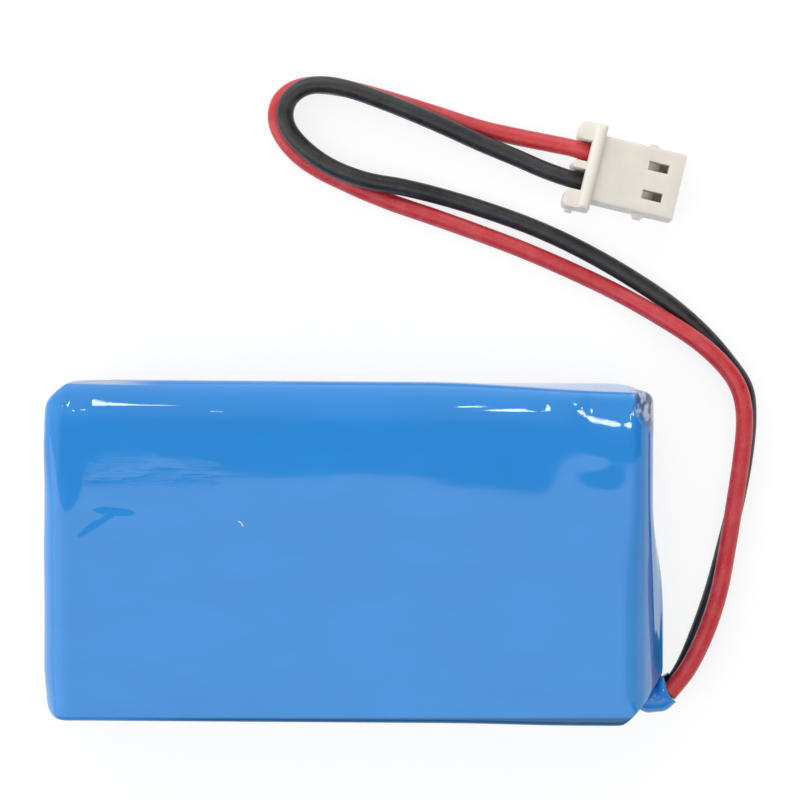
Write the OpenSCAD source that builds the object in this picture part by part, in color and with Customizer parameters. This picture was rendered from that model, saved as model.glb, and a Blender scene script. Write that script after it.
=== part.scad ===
// Two-cell lithium polymer battery pack: two pouch cells and a protection board in a
// shrink film sleeve, with two soft leads that end in a two-way crimp plug.
// The pack lies flat: X runs along its length towards the lead end, Y across it, Z up.
// The origin is the centre of the sleeve's flat bottom face. All sizes are millimetres.

/* [Cells] */
// Length of the filled part of one pouch cell
cell_l = 43.2; // [36:0.1:50]
// Width of one pouch cell over its folded side seams
cell_w = 27.6; // [24:0.1:32]
// Thickness of one pouch cell
cell_t = 5.5; // [4.5:0.1:7]
// Radius of the rounded edges of a pouch cell
cell_edge_r = 1.7; // [1.2:0.1:2]
// Radius of the upright corners of a pouch cell
cell_corner_r = 1.5; // [1:0.1:2]
// Thickness of a side seam folded up against the cell
seam_t = 0.35; // [0.2:0.05:0.5]
// Height of a folded side seam
seam_h = 3.4; // [2:0.1:4]
// Length of the flat sealed terrace in front of a cell
terrace_l = 3; // [2.5:0.1:4]
// Thickness of the sealed terrace
terrace_t = 0.3; // [0.2:0.05:0.4]
// Width of the sealed terrace
terrace_w = 25; // [22:0.5:26]
// Thickness of the tape that bonds the two cells
bond_t = 0.3; // [0.1:0.05:0.6]
// Length of the bonding tape
bond_l = 34; // [20:1:36]
// Width of the bonding tape
bond_w = 19; // [12:1:22]

/* [Tabs] */
// Width of a cell tab
tab_w = 4; // [3:0.1:5]
// Thickness of a cell tab
tab_t = 0.15; // [0.1:0.05:0.2]
// Distance of each tab's middle from the pack's middle
tab_y = 6.2; // [5:0.1:8]
// Height of the tab's bent end on the protection board
tab_rise = 2.4; // [1.6:0.1:3]
// Length of tab held between the two foils of the terrace
tab_grip = 2; // [1:0.1:2.2]
// How far the sealing strip of a tab stands out of the terrace
tab_seal_l = 0.4; // [0.2:0.1:0.8]
// How much wider than its tab a sealing strip is, on each side
tab_seal_margin = 0.8; // [0.4:0.1:1.2]
// Thickness of the amber tape over the terraces
amber_tape_t = 0.1; // [0.06:0.02:0.16]
// Length of the amber tape along the terrace
amber_tape_l = 2.2; // [1:0.1:2.4]
// How far the amber tape reaches past the outer tabs, on each side
amber_tape_margin = 1.8; // [1:0.1:2.4]

/* [Protection board] */
// Thickness of the protection board
board_t = 0.8; // [0.6:0.1:1]
// Width of the protection board
board_w = 24; // [20:0.5:25]
// Space between the board's long edges and the terraces
board_play = 0.25; // [0.15:0.05:0.5]
// Space between a tab's sealing strip and its bent end
seal_play = 0.05; // [0.05:0.05:0.2]
// Width of a switch chip
switch_w = 3; // [2.5:0.1:3.2]
// Height of a switch chip
switch_h = 3; // [2.5:0.1:3.2]
// Thickness of a chip package
chip_t = 1; // [0.8:0.05:1.2]
// Distance between the middles of the two switch chips
switch_pitch = 4; // [3.6:0.1:4.4]
// Width of the protection chip
control_w = 2.9; // [2.4:0.1:3.2]
// Height of the protection chip
control_h = 1.6; // [1.4:0.1:2]
// How far up the board's middle line the protection chip sits
control_z = 2.9; // [2.8:0.05:3.1]
// Length of a chip resistor or capacitor
chip_part_l = 1.6; // [1.2:0.1:2]
// Width of a chip resistor or capacitor
chip_part_w = 0.8; // [0.6:0.05:1]
// Thickness of a chip resistor
resistor_t = 0.45; // [0.3:0.05:0.6]
// Thickness of a chip capacitor
capacitor_t = 0.8; // [0.6:0.05:1]
// Number of chip resistors in their row
resistor_count = 3; // [1:1:3]
// Number of chip capacitors in their row
capacitor_count = 2; // [1:1:3]
// Distance between chip parts in a row
chip_part_pitch = 1.9; // [1.6:0.1:2.1]
// Distance of the resistor row from the pack's middle, towards +Y
resistor_y = 10.2; // [9.6:0.1:10.6]
// Radius of a solder dome on a tab
tab_solder_r = 0.9; // [0.6:0.05:1.1]
// Height of a solder dome on a tab
tab_solder_h = 0.35; // [0.2:0.05:0.5]

/* [Sleeve] */
// Thickness of the shrink film
film_t = 0.2; // [0.15:0.05:0.3]
// Space between the cells or papers and the film
film_gap = 0.15; // [0.1:0.05:0.3]
// Outer radius of the film round the pack's edges
film_edge_r = 2; // [1.8:0.1:2.2]
// Length that the shrink film closes over the pack's end, on every side of its mouth
film_hem = 3.2; // [2.6:0.1:4]
// Corner radius of the mouths in the film's ends
film_mouth_r = 1.6; // [1:0.1:2]
// Length of the cut corner at the rear right, along the pack
cut_rear_right_x = 1.1; // [0.6:0.1:1.4]
// Width of the cut corner at the rear right
cut_rear_right_y = 0.8; // [0.6:0.1:1.4]
// Length of the cut corner at the rear left, along the pack
cut_rear_left_x = 1.4; // [0.6:0.1:1.6]
// Width of the cut corner at the rear left
cut_rear_left_y = 1.4; // [0.6:0.1:1.6]
// Length of the cut corner at the front right, beside the leads
cut_front_right_x = 2.4; // [1.6:0.1:2.6]
// Width of the cut corner at the front right
cut_front_right_y = 1.1; // [0.8:0.1:1.4]
// Length of the cut corner at the front left
cut_front_left_x = 1.6; // [0.8:0.1:2.2]
// Width of the cut corner at the front left
cut_front_left_y = 1.1; // [0.8:0.1:1.4]
// Thickness of the insulating papers at the ends
paper_t = 0.3; // [0.2:0.05:0.4]
// Side of the front mouth nearest the leads, from the pack's middle
front_mouth_y = 4.4; // [4:0.1:5]
// How far the front paper reaches past its mouth towards the leads
front_paper_lap = 0.6; // [0.4:0.1:1]
// How much lower than the film's flat end face a paper is, above and below
paper_inset = 1.6; // [1.5:0.1:2.4]
// Radius of the papers' corners
paper_r = 1; // [0.5:0.1:1.5]

/* [Leads] */
// Outer diameter of a lead
lead_d = 1.5; // [1.3:0.05:1.6]
// Space for the leads between the board and the film, beyond a lead's own diameter
lead_play = 0.3; // [0.2:0.05:0.5]
// Diameter of a lead's bare strands
strand_d = 0.75; // [0.6:0.05:0.9]
// Space between a lead and the film spout round it
spout_gap = 0.1; // [0.08:0.01:0.15]
// Height of the upper, red lead in the spout
red_z = 4.35; // [4.3:0.05:4.6]
// Height of the lower, black lead in the spout
black_z = 2.8; // [2.5:0.05:2.8]
// Bend radius of the leads' turn inside the spout
turn_r = 1.9; // [1.85:0.05:2.1]
// Distance of the turn's centre from the pack's middle, across the pack
turn_y = -10.9; // [-11.2:0.1:-10.5]
// Where the leads leave the board's pads, across the pack
pad_y = 1.8; // [1.4:0.1:2.4]
// Length of bare strands on a pad
pad_l = 1.5; // [1:0.1:2]
// Radius of the solder on a lead's pad
pad_solder_r = 0.74; // [0.6:0.02:0.74]
// Height of the solder on a lead's pad
pad_solder_h = 1.05; // [0.9:0.05:1.2]
// How far the film's tent stands out of the front end at the turn
tent_out = 1.35; // [1:0.05:1.6]
// Radius of the tent's soft ridge
tent_r = 1; // [0.95:0.05:1.2]
// Length of the tent's ridge beyond the turn
tent_ridge_l = 4.4; // [3:0.1:6]
// How much less the far end of the ridge stands out
tent_fall = 0.3; // [0:0.05:0.6]
// How far below the pack's middle the tent ends, beside the pads
tent_low = 2.4; // [1.5:0.1:3]
// How far above the pack's middle the tent starts, over the turn
tent_high = 3.4; // [2.5:0.1:3.8]

/* [Plug] */
// Distance between the two ways of the plug
plug_pitch = 2.5; // [2.5:0.05:2.8]
// Length of the plug's body in front of its flange
plug_l = 7.1; // [6.8:0.1:8]
// Width of the plug's body
plug_w = 5.7; // [5.6:0.1:6.4]
// Thickness of the plug's body
plug_h = 4.2; // [4:0.1:5]
// Radius of the body's long edges
plug_edge_r = 0.25; // [0.1:0.05:0.4]
// Thickness of the flange bar behind the body
flange_t = 1.05; // [0.8:0.05:1.4]
// Width of the flange bar
flange_w = 7.4; // [7:0.1:8]
// Height of the flange bar's round crest above the body
crest_h = 0.65; // [0.5:0.05:0.9]
// Length of the ears behind the flange bar
ear_l = 1.25; // [1:0.05:1.6]
// Space between the plug's rear shelf and the leads over it
shelf_gap = 0.1; // [0.05:0.05:0.3]
// Width of the rounded partition between the leads
partition_w = 0.65; // [0.4:0.05:0.65]
// Width of each notch that a lead lies in
notch_w = 1.85; // [1.75:0.05:1.85]
// Width of a terminal cavity
cavity_w = 2; // [1.95:0.05:2.1]
// Height of a terminal cavity
cavity_h = 2; // [1.95:0.05:2.1]
// Thickness of the wall at the mating face
face_wall = 0.95; // [0.6:0.05:1.2]
// Width of the square hole for a header pin
pin_hole = 0.95; // [0.8:0.05:1.1]
// Length of a lance window
window_l = 1.75; // [1.6:0.05:1.9]
// Width of a lance window
window_w = 0.8; // [0.7:0.05:0.9]
// Distance from the flange to the rear edge of the lance windows
window_x = 4.075; // [3.9:0.025:4.2]
// Length of a side lock boss
boss_l = 1.2; // [0.8:0.1:1.6]
// Height of a side lock boss above the body's side
boss_out = 0.4; // [0.2:0.05:0.6]
// Distance from the flange to the middle of the side lock bosses
boss_x = 4.4; // [3.6:0.1:5]
// Height of the side lock bosses' lower end
boss_z = 0.6; // [0.4:0.1:1]
// Upright length of a side lock boss
boss_h = 1.9; // [1.4:0.1:2.4]
// Length of the guide rib beside each ear
lip_l = 0.6; // [0.4:0.05:0.7]
// Height of the guide rib beside each ear
lip_h = 1.05; // [0.8:0.05:1.3]
// How far a guide rib stands out of its ear's side
lip_out = 0.25; // [0.15:0.05:0.4]
// Radius of the round corners of the ears
ear_r = 0.45; // [0.2:0.05:0.5]

/* [Terminals] */
// Thickness of the terminals' sheet metal
metal_t = 0.15; // [0.1:0.01:0.16]
// Space between a crimp and what it grips
crimp_gap = 0.02; // [0.01:0.01:0.03]
// Width of a terminal's box
box_w = 1.6; // [1.5:0.05:1.7]
// Height of a terminal's box
box_h = 1.55; // [1.45:0.05:1.6]
// Length of a terminal's box
box_l = 2.6; // [2.4:0.05:2.8]
// Length of the lance in its window
lance_l = 1.05; // [0.9:0.05:1.2]
// Width of the lance
lance_w = 0.7; // [0.5:0.05:0.7]
// Length of the crimp round the insulation
grip_l = 0.75; // [0.6:0.05:0.85]
// Length of the crimp round the bare strands
crimp_l = 0.9; // [0.7:0.05:1]
// How far a lead's insulation reaches in front of the flange
strip_x = 1; // [0.9:0.05:1.1]
// Length of bare strands between the insulation and their crimp
strip_show = 0.2; // [0.1:0.05:0.3]
// Space between the lance's tip and the rear edge of its window
lance_gap = 0.03; // [0.02:0.01:0.1]
// How far the lance's tip reaches into its window
lance_rise = 0.45; // [0.1:0.05:0.6]

/* [Hidden] */
$fn = 48;
eps = 0.05;

// The stack of parts along the pack, from the rear film to the front film.
end_fit = film_t + film_gap;
stack_t = 2 * cell_t + bond_t;
pack_w = cell_w + 2 * end_fit;
pack_t = stack_t + 2 * end_fit;
board_gap = tab_seal_l + seal_play + tab_t;
lead_space = lead_d + lead_play;
rear_depth = end_fit + paper_t + film_gap;
front_depth = terrace_l + board_gap + board_t + lead_space + film_t;
pack_l = rear_depth + cell_l + front_depth;
rear_x = -pack_l / 2;
front_x = pack_l / 2;
cell_x = rear_x + rear_depth;
terrace_x = cell_x + cell_l;
board_x = terrace_x + terrace_l + board_gap;
board_out_x = board_x + board_t;
cell_z = end_fit;
middle_z = pack_t / 2;
board_clear = terrace_t + board_play;
board_h = stack_t - 2 * board_clear;
amber_tape_w = 2 * tab_y + tab_w + 2 * amber_tape_margin;
paper_h = pack_t - 2 * paper_inset;

// The leads' way from the board's pads, down behind the film and round the turn.
lead_r = lead_d / 2;
run_x = board_out_x + lead_r;
turn_x = run_x + turn_r;
turn_start = 180;
turn_end = 315;
turn_steps = 5;
spout_bore_r = lead_r + spout_gap;
spout_r = spout_bore_r + film_t;

// The plug lies on the table, turned a little towards the pack.
plug_pos = [21, 32.45];
plug_turn = -13;
plug_z = plug_h / 2;
way_y = plug_pitch / 2;
cavity_end = plug_l - face_wall;
ear_x = -flange_t - ear_l;
grip_x = strip_x - grip_l;
crimp_x = strip_x + strip_show;
box_x = window_x + lance_l - box_l;
strand_l = crimp_l + 1.5 * strip_show;
strand_r = strand_d / 2;
grip_r = lead_r + crimp_gap + metal_t;
crimp_r = strand_r + crimp_gap + metal_t;

// A lead's ring is an octagon with a point at its lowest place.
lead_sides = 8;

function plug_point(x, y) = [
    plug_pos.x + x * cos(plug_turn) - y * sin(plug_turn),
    plug_pos.y + x * sin(plug_turn) + y * cos(plug_turn),
    plug_z
];

function turn_point(angle, z) = [turn_x + turn_r * cos(angle), turn_y + turn_r * sin(angle), z];

// Inside the sleeve a lead runs straight down the board and then follows the turn.
function inner_route(z) = [
    [run_x, pad_y, z],
    [run_x, (pad_y + turn_y) / 2, z],
    for (step = [0 : turn_steps])
        turn_point(turn_start + step * (turn_end - turn_start) / turn_steps, z)
];

// Free run of the red lead, from the spout to the plug.
red_run = [
    [28.9, -10.1, 4.05], [30.5, -7, 3.45], [31.65, -3.6, 2.85], [32.4, 0.2, 2.45], [33, 4, 2.35],
    [33.55, 7.8, 2.3], [33.8, 11.3, 2.3], [33.3, 13.8, 2.3], [32, 15.75, 2.25], [29.7, 17.85, 2.05],
    [26.5, 19.95, 1.5], [23, 21.95, 0.85], [19, 23.85, 0.75], [15, 25.55, 0.75], [11, 27.05, 0.75],
    [7, 28.45, 0.75], [3, 29.8, 0.75], [-0.7, 31.35, 0.75], [-3.7, 32.9, 0.75],
    [-5.6, 34.6, 0.75], [-6.6, 36.5, 0.75], [-6.4, 38.2, 0.75], [-5.3, 39.3, 0.75],
    [-3.6, 39.75, 0.75], [-0.8, 39.5, 0.75], [3, 38.55, 0.75], [7, 37.35, 0.75],
    [11, 36.1, 0.85], [14.5, 35.3, 1.2], [17.3, 34.7, 1.8], [19.1, 34.3, 2.05]
];

// Free run of the black lead, from the spout to the plug.
black_run = [
    [28.6, -10.3, 2.5], [30.05, -7.1, 1.9], [31.35, -3.5, 1.3], [32.4, 0.3, 0.9], [33.3, 4, 0.8],
    [34, 7.8, 0.75], [34.3, 11.3, 0.75], [34, 13.8, 0.75], [32.7, 15.85, 0.75],
    [30.5, 18.4, 0.75], [27.6, 20.95, 0.75], [24, 23.35, 0.75], [20, 25.6, 0.75],
    [16, 27.45, 0.75], [12, 28.9, 0.75], [8, 30.1, 0.8], [4.5, 30.9, 1.5], [1, 31.5, 2.05],
    [-2, 32.65, 2.25], [-4.4, 34.4, 2.2], [-5.7, 36.2, 2.2], [-5.7, 37.9, 2.25],
    [-4.7, 39.1, 2.3], [-3.1, 39.6, 2.35], [-0.6, 39.3, 2.35], [3, 38.1, 2.3], [7, 36.5, 2.2],
    [11, 34.75, 2], [14.3, 33.4, 1.95], [16.4, 32.5, 2.05], [18.4, 31.8, 2.1]
];

function lead_route(z, run, y) = concat(
    inner_route(z), run, [plug_point(-0.9, y), plug_point(strip_x, y)]
);

red_route = lead_route(red_z, red_run, way_y);
black_route = lead_route(black_z, black_run, -way_y);
// Place in a route of the point in the spout's mouth, where the free lead begins.
mouth_i = len(inner_route(red_z)) - 1;

function unit(v) = v / norm(v);

// Direction of a route at one of its points, in between the stretches that meet there.
function heading(route, i) =
    i == 0 ? unit(route[1] - route[0])
    : i == len(route) - 1 ? unit(route[i] - route[i - 1])
    : unit(unit(route[i + 1] - route[i]) + unit(route[i] - route[i - 1]));

// Corners of one ring: the ring's own up and side axes stay square to the heading.
function ring(centre, along) =
    let (side = unit(cross([0, 0, 1], along)), up = cross(along, side))
    [for (k = [0 : lead_sides - 1])
        let (angle = -90 + k * 360 / lead_sides)
        centre + lead_r * (cos(angle) * side + sin(angle) * up)];

// One lead as a single closed tube through the route's points from first to last.
module lead_tube(route, first, last) {
    rings = [for (i = [first : last]) ring(route[i], heading(route, i))];
    count = len(rings);
    corners = [for (one = rings) each one];
    start_cap = [for (k = [0 : lead_sides - 1]) k];
    end_cap = [for (k = [lead_sides - 1 : -1 : 0]) (count - 1) * lead_sides + k];
    walls = [
        for (r = [0 : count - 2], k = [0 : lead_sides - 1])
            let (a = r * lead_sides + k, b = r * lead_sides + (k + 1) % lead_sides)
            each [[a, a + lead_sides, b], [b, a + lead_sides, b + lead_sides]]
    ];
    polyhedron(points = corners, faces = concat([start_cap, end_cap], walls), convexity = 8);
}

// A rectangle with round corners, from squares and true circles.
module round_rect(size, r) {
    square([size.x - 2 * r, size.y], center = true);
    square([size.x, size.y - 2 * r], center = true);
    for (sx = [-1, 1], sy = [-1, 1]) {
        translate([sx * (size.x / 2 - r), sy * (size.y / 2 - r)]) circle(r);
    }
}

// A soft box: it is rounded over its long edges and its end edges, and flat on top and below.
// Its children give its outline in plan.
module soft_box(size, r) {
    intersection() {
        rotate([90, 0, 90]) linear_extrude(size.x, center = true) round_rect([size.y, size.z], r);
        rotate([90, 0, 0]) linear_extrude(size.y, center = true) round_rect([size.x, size.z], r);
        linear_extrude(size.z, center = true) children();
    }
}

// Plan of the film: a rectangle with its four corners cut as the shrunk film draws them in.
module film_plan(inset) {
    x = pack_l / 2 - inset;
    y = pack_w / 2 - inset;
    polygon([
        [-x + cut_rear_right_x, -y], [x - cut_front_right_x, -y],
        [x, -y + cut_front_right_y], [x, y - cut_front_left_y],
        [x - cut_front_left_x, y], [-x + cut_rear_left_x, y],
        [-x, y - cut_rear_left_y], [-x, -y + cut_rear_right_y]
    ]);
}

module film_form(inset) {
    size = [pack_l - 2 * inset, pack_w - 2 * inset, pack_t - 2 * inset];
    translate([0, 0, middle_z]) soft_box(size, film_edge_r - inset) film_plan(inset);
}

// The film stands off the front end like a tent, from the turn of the leads up to the pads.
module film_tent(r) {
    ridge_x = front_x + tent_out - tent_r;
    foot_x = front_x - tent_r - film_t / 2;
    knobs = [
        for (z = [black_z, red_z]) each [
            [ridge_x, turn_y, z], [ridge_x - tent_fall, turn_y + tent_ridge_l, z]
        ],
        [foot_x, pad_y, middle_z - tent_low],
        [foot_x, turn_y + tent_r / 2, middle_z + tent_high],
        [foot_x, turn_y + tent_r / 2, film_edge_r]
    ];
    hull() {
        for (knob = knobs) translate(knob) sphere(r, $fn = 24);
    }
}

// The spout follows the two stacked leads round their turn.
module film_spout(r, over) {
    translate([turn_x, turn_y, 0])
        rotate([0, 0, turn_start])
            rotate_extrude(angle = turn_end - turn_start + over) translate([turn_r, 0]) {
                translate([-r, black_z]) square([2 * r, red_z - black_z]);
                translate([0, black_z]) circle(r);
                translate([0, red_z]) circle(r);
            }
}

// An opening with round corners through one end of the film.
module end_mouth(x, y_from, y_to) {
    size = [y_to - y_from, pack_t - 2 * film_hem];
    translate([x, (y_from + y_to) / 2, middle_z])
        rotate([90, 0, 90]) linear_extrude(4 * film_t, center = true) round_rect(size, film_mouth_r);
}

module shrink_sleeve() {
    color([0.03, 0.25, 0.7]) difference() {
        union() {
            film_form(0);
            film_tent(tent_r);
            film_spout(spout_r, 0);
        }
        film_form(film_t);
        film_tent(tent_r - film_t);
        film_spout(spout_bore_r, 4);
        end_mouth(rear_x, -pack_w / 2 + film_hem, pack_w / 2 - film_hem);
        end_mouth(front_x, front_mouth_y, pack_w / 2 - film_hem);
    }
}

// One pouch cell, its terrace at the bottom. It has a slot for each of its two tabs.
module cell() {
    body_w = cell_w - 2 * seam_t;
    body_size = [cell_l, body_w, cell_t];
    difference() {
        union() {
            translate([cell_x + cell_l / 2, 0, cell_z + cell_t / 2])
                soft_box(body_size, cell_edge_r) round_rect([cell_l, body_w], cell_corner_r);
            translate([terrace_x - 2 * cell_edge_r, -terrace_w / 2, cell_z])
                cube([terrace_l + 2 * cell_edge_r, terrace_w, terrace_t]);
            for (side = [-1, 1]) {
                translate([cell_x + cell_l / 2, side * (cell_w / 2 - seam_t), cell_z + cell_t / 2])
                    cube([cell_l - 4 * cell_corner_r, 2 * seam_t, seam_h], center = true);
            }
        }
        cell_tab(1);
        cell_tab(-1);
    }
}

// A tab comes out of the terrace and is bent up the board's inner face.
module cell_tab(side) {
    z = cell_z + (terrace_t - tab_t) / 2;
    start_x = terrace_x + terrace_l - tab_grip;
    translate([start_x, side * tab_y - tab_w / 2, z]) {
        cube([board_x - start_x, tab_w, tab_t]);
        translate([board_x - start_x - tab_t, 0, 0]) cube([tab_t, tab_w, tab_rise]);
    }
}

module tab_seal(side) {
    w = tab_w + 2 * tab_seal_margin;
    x = terrace_x + terrace_l;
    difference() {
        translate([x, side * tab_y - w / 2, cell_z]) cube([tab_seal_l, w, terrace_t]);
        cell_tab(side);
    }
}

module amber_tape() {
    translate([terrace_x + terrace_l - amber_tape_l, -amber_tape_w / 2, cell_z + terrace_t])
        cube([amber_tape_l, amber_tape_w, amber_tape_t]);
}

// The upper cell is the lower one turned over, so that both terraces lie outwards.
module turned_over() {
    translate([0, 0, pack_t]) rotate([180, 0, 0]) children();
}

module lower_cell() { color([0.75, 0.76, 0.78]) cell(); }
module upper_cell() { color([0.75, 0.76, 0.78]) turned_over() cell(); }
module lower_positive_tab() { color([0.8, 0.8, 0.8]) cell_tab(-1); }
module lower_negative_tab() { color([0.82, 0.78, 0.7]) cell_tab(1); }
module upper_positive_tab() { color([0.8, 0.8, 0.8]) turned_over() cell_tab(-1); }
module upper_negative_tab() { color([0.82, 0.78, 0.7]) turned_over() cell_tab(1); }

module tab_seals() {
    color([0.9, 0.88, 0.8]) {
        for (side = [-1, 1]) {
            tab_seal(side);
            turned_over() tab_seal(side);
        }
    }
}

module cell_bond_tape() {
    color([0.95, 0.95, 0.95]) translate([cell_x + cell_l / 2, 0, middle_z])
        cube([bond_l, bond_w, bond_t], center = true);
}

module amber_tapes() {
    color([0.8, 0.5, 0.1]) {
        amber_tape();
        turned_over() amber_tape();
    }
}

// Height on the board's inner face where a tab's bent end stops.
tab_top_z = cell_z + (terrace_t - tab_t) / 2 + tab_rise;

// A strip on the board joins the lower positive tab to the upper negative tab.
module series_link() {
    color([0.8, 0.8, 0.8]) translate([board_x - tab_t, -tab_y - tab_w / 2, tab_top_z])
        cube([tab_t, tab_w, pack_t - 2 * tab_top_z]);
}

module protection_board() {
    color([0.05, 0.3, 0.15]) translate([board_x, -board_w / 2, cell_z + board_clear])
        cube([board_t, board_w, board_h]);
}

// A flat part on the board's inner face, placed by its middle.
module on_board(y, z, w, h, t) {
    translate([board_x - t / 2, y, z]) cube([t, w, h], center = true);
}

module switch_chips() {
    color([0.08, 0.08, 0.08]) for (side = [-1, 1]) {
        on_board(side * switch_pitch / 2, middle_z - control_h / 2, switch_w, switch_h, chip_t);
    }
}

module protection_chip() {
    color([0.08, 0.08, 0.08]) on_board(0, middle_z + control_z, control_w, control_h, chip_t);
}

// A row of small chip parts stands one above the other, beside the tabs.
module chip_row(y, count, t) {
    for (i = [0 : count - 1]) {
        z = middle_z + (i - (count - 1) / 2) * chip_part_pitch;
        on_board(y, z, chip_part_l, chip_part_w, t);
    }
}

module chip_resistors() {
    color([0.12, 0.12, 0.14]) chip_row(resistor_y, resistor_count, resistor_t);
}

module chip_capacitors() {
    color([0.7, 0.6, 0.45]) chip_row(-resistor_y, capacitor_count, capacitor_t);
}

// A dome of solder with a flat foot: a slice of a ball, its axis along X.
module solder_dome(r, h) {
    ball_r = (r * r + h * h) / (2 * h);
    rotate([0, 90, 0]) intersection() {
        translate([0, 0, h - ball_r]) sphere(ball_r);
        cylinder(h, r, r);
    }
}

module tab_solder() {
    color([0.72, 0.73, 0.75]) for (side = [-1, 1], z = [tab_top_z - 1, pack_t - tab_top_z + 1]) {
        translate([board_x - tab_t, side * tab_y, z]) rotate([0, 0, 180])
            solder_dome(tab_solder_r, tab_solder_h);
    }
}

// Bare strands of both leads on the board's outer face.
module board_strands() {
    color([0.75, 0.45, 0.25]) for (z = [red_z, black_z]) {
        translate([run_x, pad_y + pad_l, z]) rotate([90, 0, 0]) cylinder(pad_l, strand_r, strand_r);
    }
}

// Solder on each pad, round the strands. The two pads' solder doesn't meet.
module lead_solder() {
    color([0.72, 0.73, 0.75]) difference() {
        for (z = [red_z, black_z]) {
            translate([board_out_x, pad_y + pad_l / 2, z]) rotate([0, 90, 0])
                cylinder(pad_solder_h, pad_solder_r, strand_r);
        }
        board_strands();
    }
}

module rear_paper() {
    color([0.9, 0.9, 0.86]) translate([rear_x + end_fit, 0, middle_z]) rotate([90, 0, 90])
        linear_extrude(paper_t) round_rect([pack_w - 2 * film_edge_r, paper_h], paper_r);
}

// The front paper stops short of the leads' pads.
module front_paper() {
    from_y = front_mouth_y - front_paper_lap;
    w = pack_w / 2 - film_edge_r - from_y;
    y = from_y + w / 2;
    color([0.9, 0.9, 0.86]) translate([front_x - end_fit - paper_t, y, middle_z])
        rotate([90, 0, 90]) linear_extrude(paper_t) round_rect([w, paper_h], paper_r);
}

module red_inner_lead() { color([0.78, 0.08, 0.1]) lead_tube(red_route, 0, mouth_i); }
module black_inner_lead() { color([0.06, 0.06, 0.06]) lead_tube(black_route, 0, mouth_i); }
module red_lead() { color([0.78, 0.08, 0.1]) lead_tube(red_route, mouth_i, len(red_route) - 1); }
module black_lead() {
    color([0.06, 0.06, 0.06]) lead_tube(black_route, mouth_i, len(black_route) - 1);
}

// Places a child made in the plug's own frame: x runs towards the mating face from the
// flange, y across the plug and z up from the table.
module in_plug() {
    translate([plug_pos.x, plug_pos.y, 0]) rotate([0, 0, plug_turn]) children();
}

module strands(y) {
    in_plug() translate([strip_x, y, plug_z]) rotate([0, 90, 0]) cylinder(strand_l, strand_r, strand_r);
}

module red_strands() { color([0.75, 0.45, 0.25]) strands(way_y); }
module black_strands() { color([0.75, 0.45, 0.25]) strands(-way_y); }

// A tube along x whose seam stands on a strip of the same metal, as a closed crimp does.
module crimp(x, l, bore_r, outer_r, foot_z) {
    difference() {
        union() {
            translate([x, 0, 0]) rotate([0, 90, 0]) cylinder(l, outer_r, outer_r);
            translate([x, -strand_r, foot_z]) cube([l, strand_d, -foot_z]);
        }
        translate([x - eps, 0, 0]) rotate([0, 90, 0]) cylinder(l + 2 * eps, bore_r, bore_r);
    }
}

// One crimp terminal: grip round the insulation, crimp round the strands, then the box that
// takes the header's pin, with a lance that springs up into the housing's window.
module terminal(y) {
    foot_z = -grip_r;
    box_top = foot_z + box_h;
    lance_x = window_x + lance_gap;
    lance_top = cavity_h / 2 + lance_rise;
    in_plug() translate([0, y, plug_z]) {
        crimp(grip_x, grip_l, lead_r + crimp_gap, grip_r, foot_z);
        crimp(crimp_x, crimp_l, strand_r + crimp_gap, crimp_r, foot_z);
        translate([grip_x, -strand_r, foot_z]) cube([box_x - grip_x + eps, strand_d, metal_t]);
        difference() {
            translate([box_x, -box_w / 2, foot_z]) cube([box_l, box_w, box_h]);
            translate([box_x - eps, -box_w / 2 + metal_t, foot_z + metal_t])
                cube([box_l + 2 * eps, box_w - 2 * metal_t, box_h - 2 * metal_t]);
        }
        translate([0, lance_w / 2, 0]) rotate([90, 0, 0]) linear_extrude(lance_w) polygon([
            [box_x + box_l, box_top - metal_t], [box_x + box_l, box_top],
            [lance_x, lance_top], [lance_x, lance_top - metal_t],
            [box_x + box_l - 2 * metal_t, box_top - metal_t]
        ]);
    }
}

module red_terminal() { color([0.72, 0.68, 0.6]) terminal(way_y); }
module black_terminal() { color([0.72, 0.68, 0.6]) terminal(-way_y); }

// The body's cross-section is a rectangle with small round edges.
module housing_body() {
    translate([-flange_t / 2, 0, plug_h / 2]) rotate([90, 0, 90])
        linear_extrude(plug_l + flange_t / 2) round_rect([plug_w, plug_h], plug_edge_r);
}

// The flange bar has a half-round crest and round ends.
module flange_bar() {
    crest_r = flange_t / 2;
    top = plug_h + crest_h;
    intersection() {
        translate([-crest_r, 0, 0]) rotate([90, 0, 0]) linear_extrude(flange_w, center = true) {
            translate([-crest_r, 0]) square([flange_t, top - crest_r]);
            translate([0, top - crest_r]) circle(crest_r);
        }
        translate([-flange_t, 0, top / 2]) rotate([90, 0, 90])
            linear_extrude(flange_t) round_rect([flange_w, top], 0.5);
    }
}

// Ears guide the leads on both sides, and a round-ended partition keeps them apart.
module ears() {
    ear_w = flange_w / 2 - way_y - notch_w / 2;
    for (side = [-1, 1]) {
        translate([0, side * (flange_w / 2 - ear_w / 2), 0]) {
            linear_extrude(plug_h) {
                translate([ear_x, -ear_w / 2 + ear_r]) square([ear_l + eps, ear_w - 2 * ear_r]);
                translate([ear_x + ear_r, -ear_w / 2]) square([ear_l + eps - ear_r, ear_w]);
                for (s = [-1, 1]) {
                    translate([ear_x + ear_r, s * (ear_w / 2 - ear_r)]) circle(ear_r);
                }
            }
            translate([ear_x + ear_r + lip_l / 2, side * ear_w / 2, lip_h / 2])
                cube([lip_l, 2 * lip_out, lip_h], center = true);
        }
    }
    linear_extrude(plug_h) {
        translate([ear_x + partition_w / 2, -partition_w / 2])
            square([ear_l + eps - partition_w / 2, partition_w]);
        translate([ear_x + partition_w / 2, 0]) circle(partition_w / 2);
    }
    shelf_w = flange_w - 2 * ear_w + 2 * eps;
    translate([ear_x + ear_r, -shelf_w / 2, 0])
        cube([ear_l - ear_r + eps, shelf_w, plug_z - lead_r - shelf_gap]);
}

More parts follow.
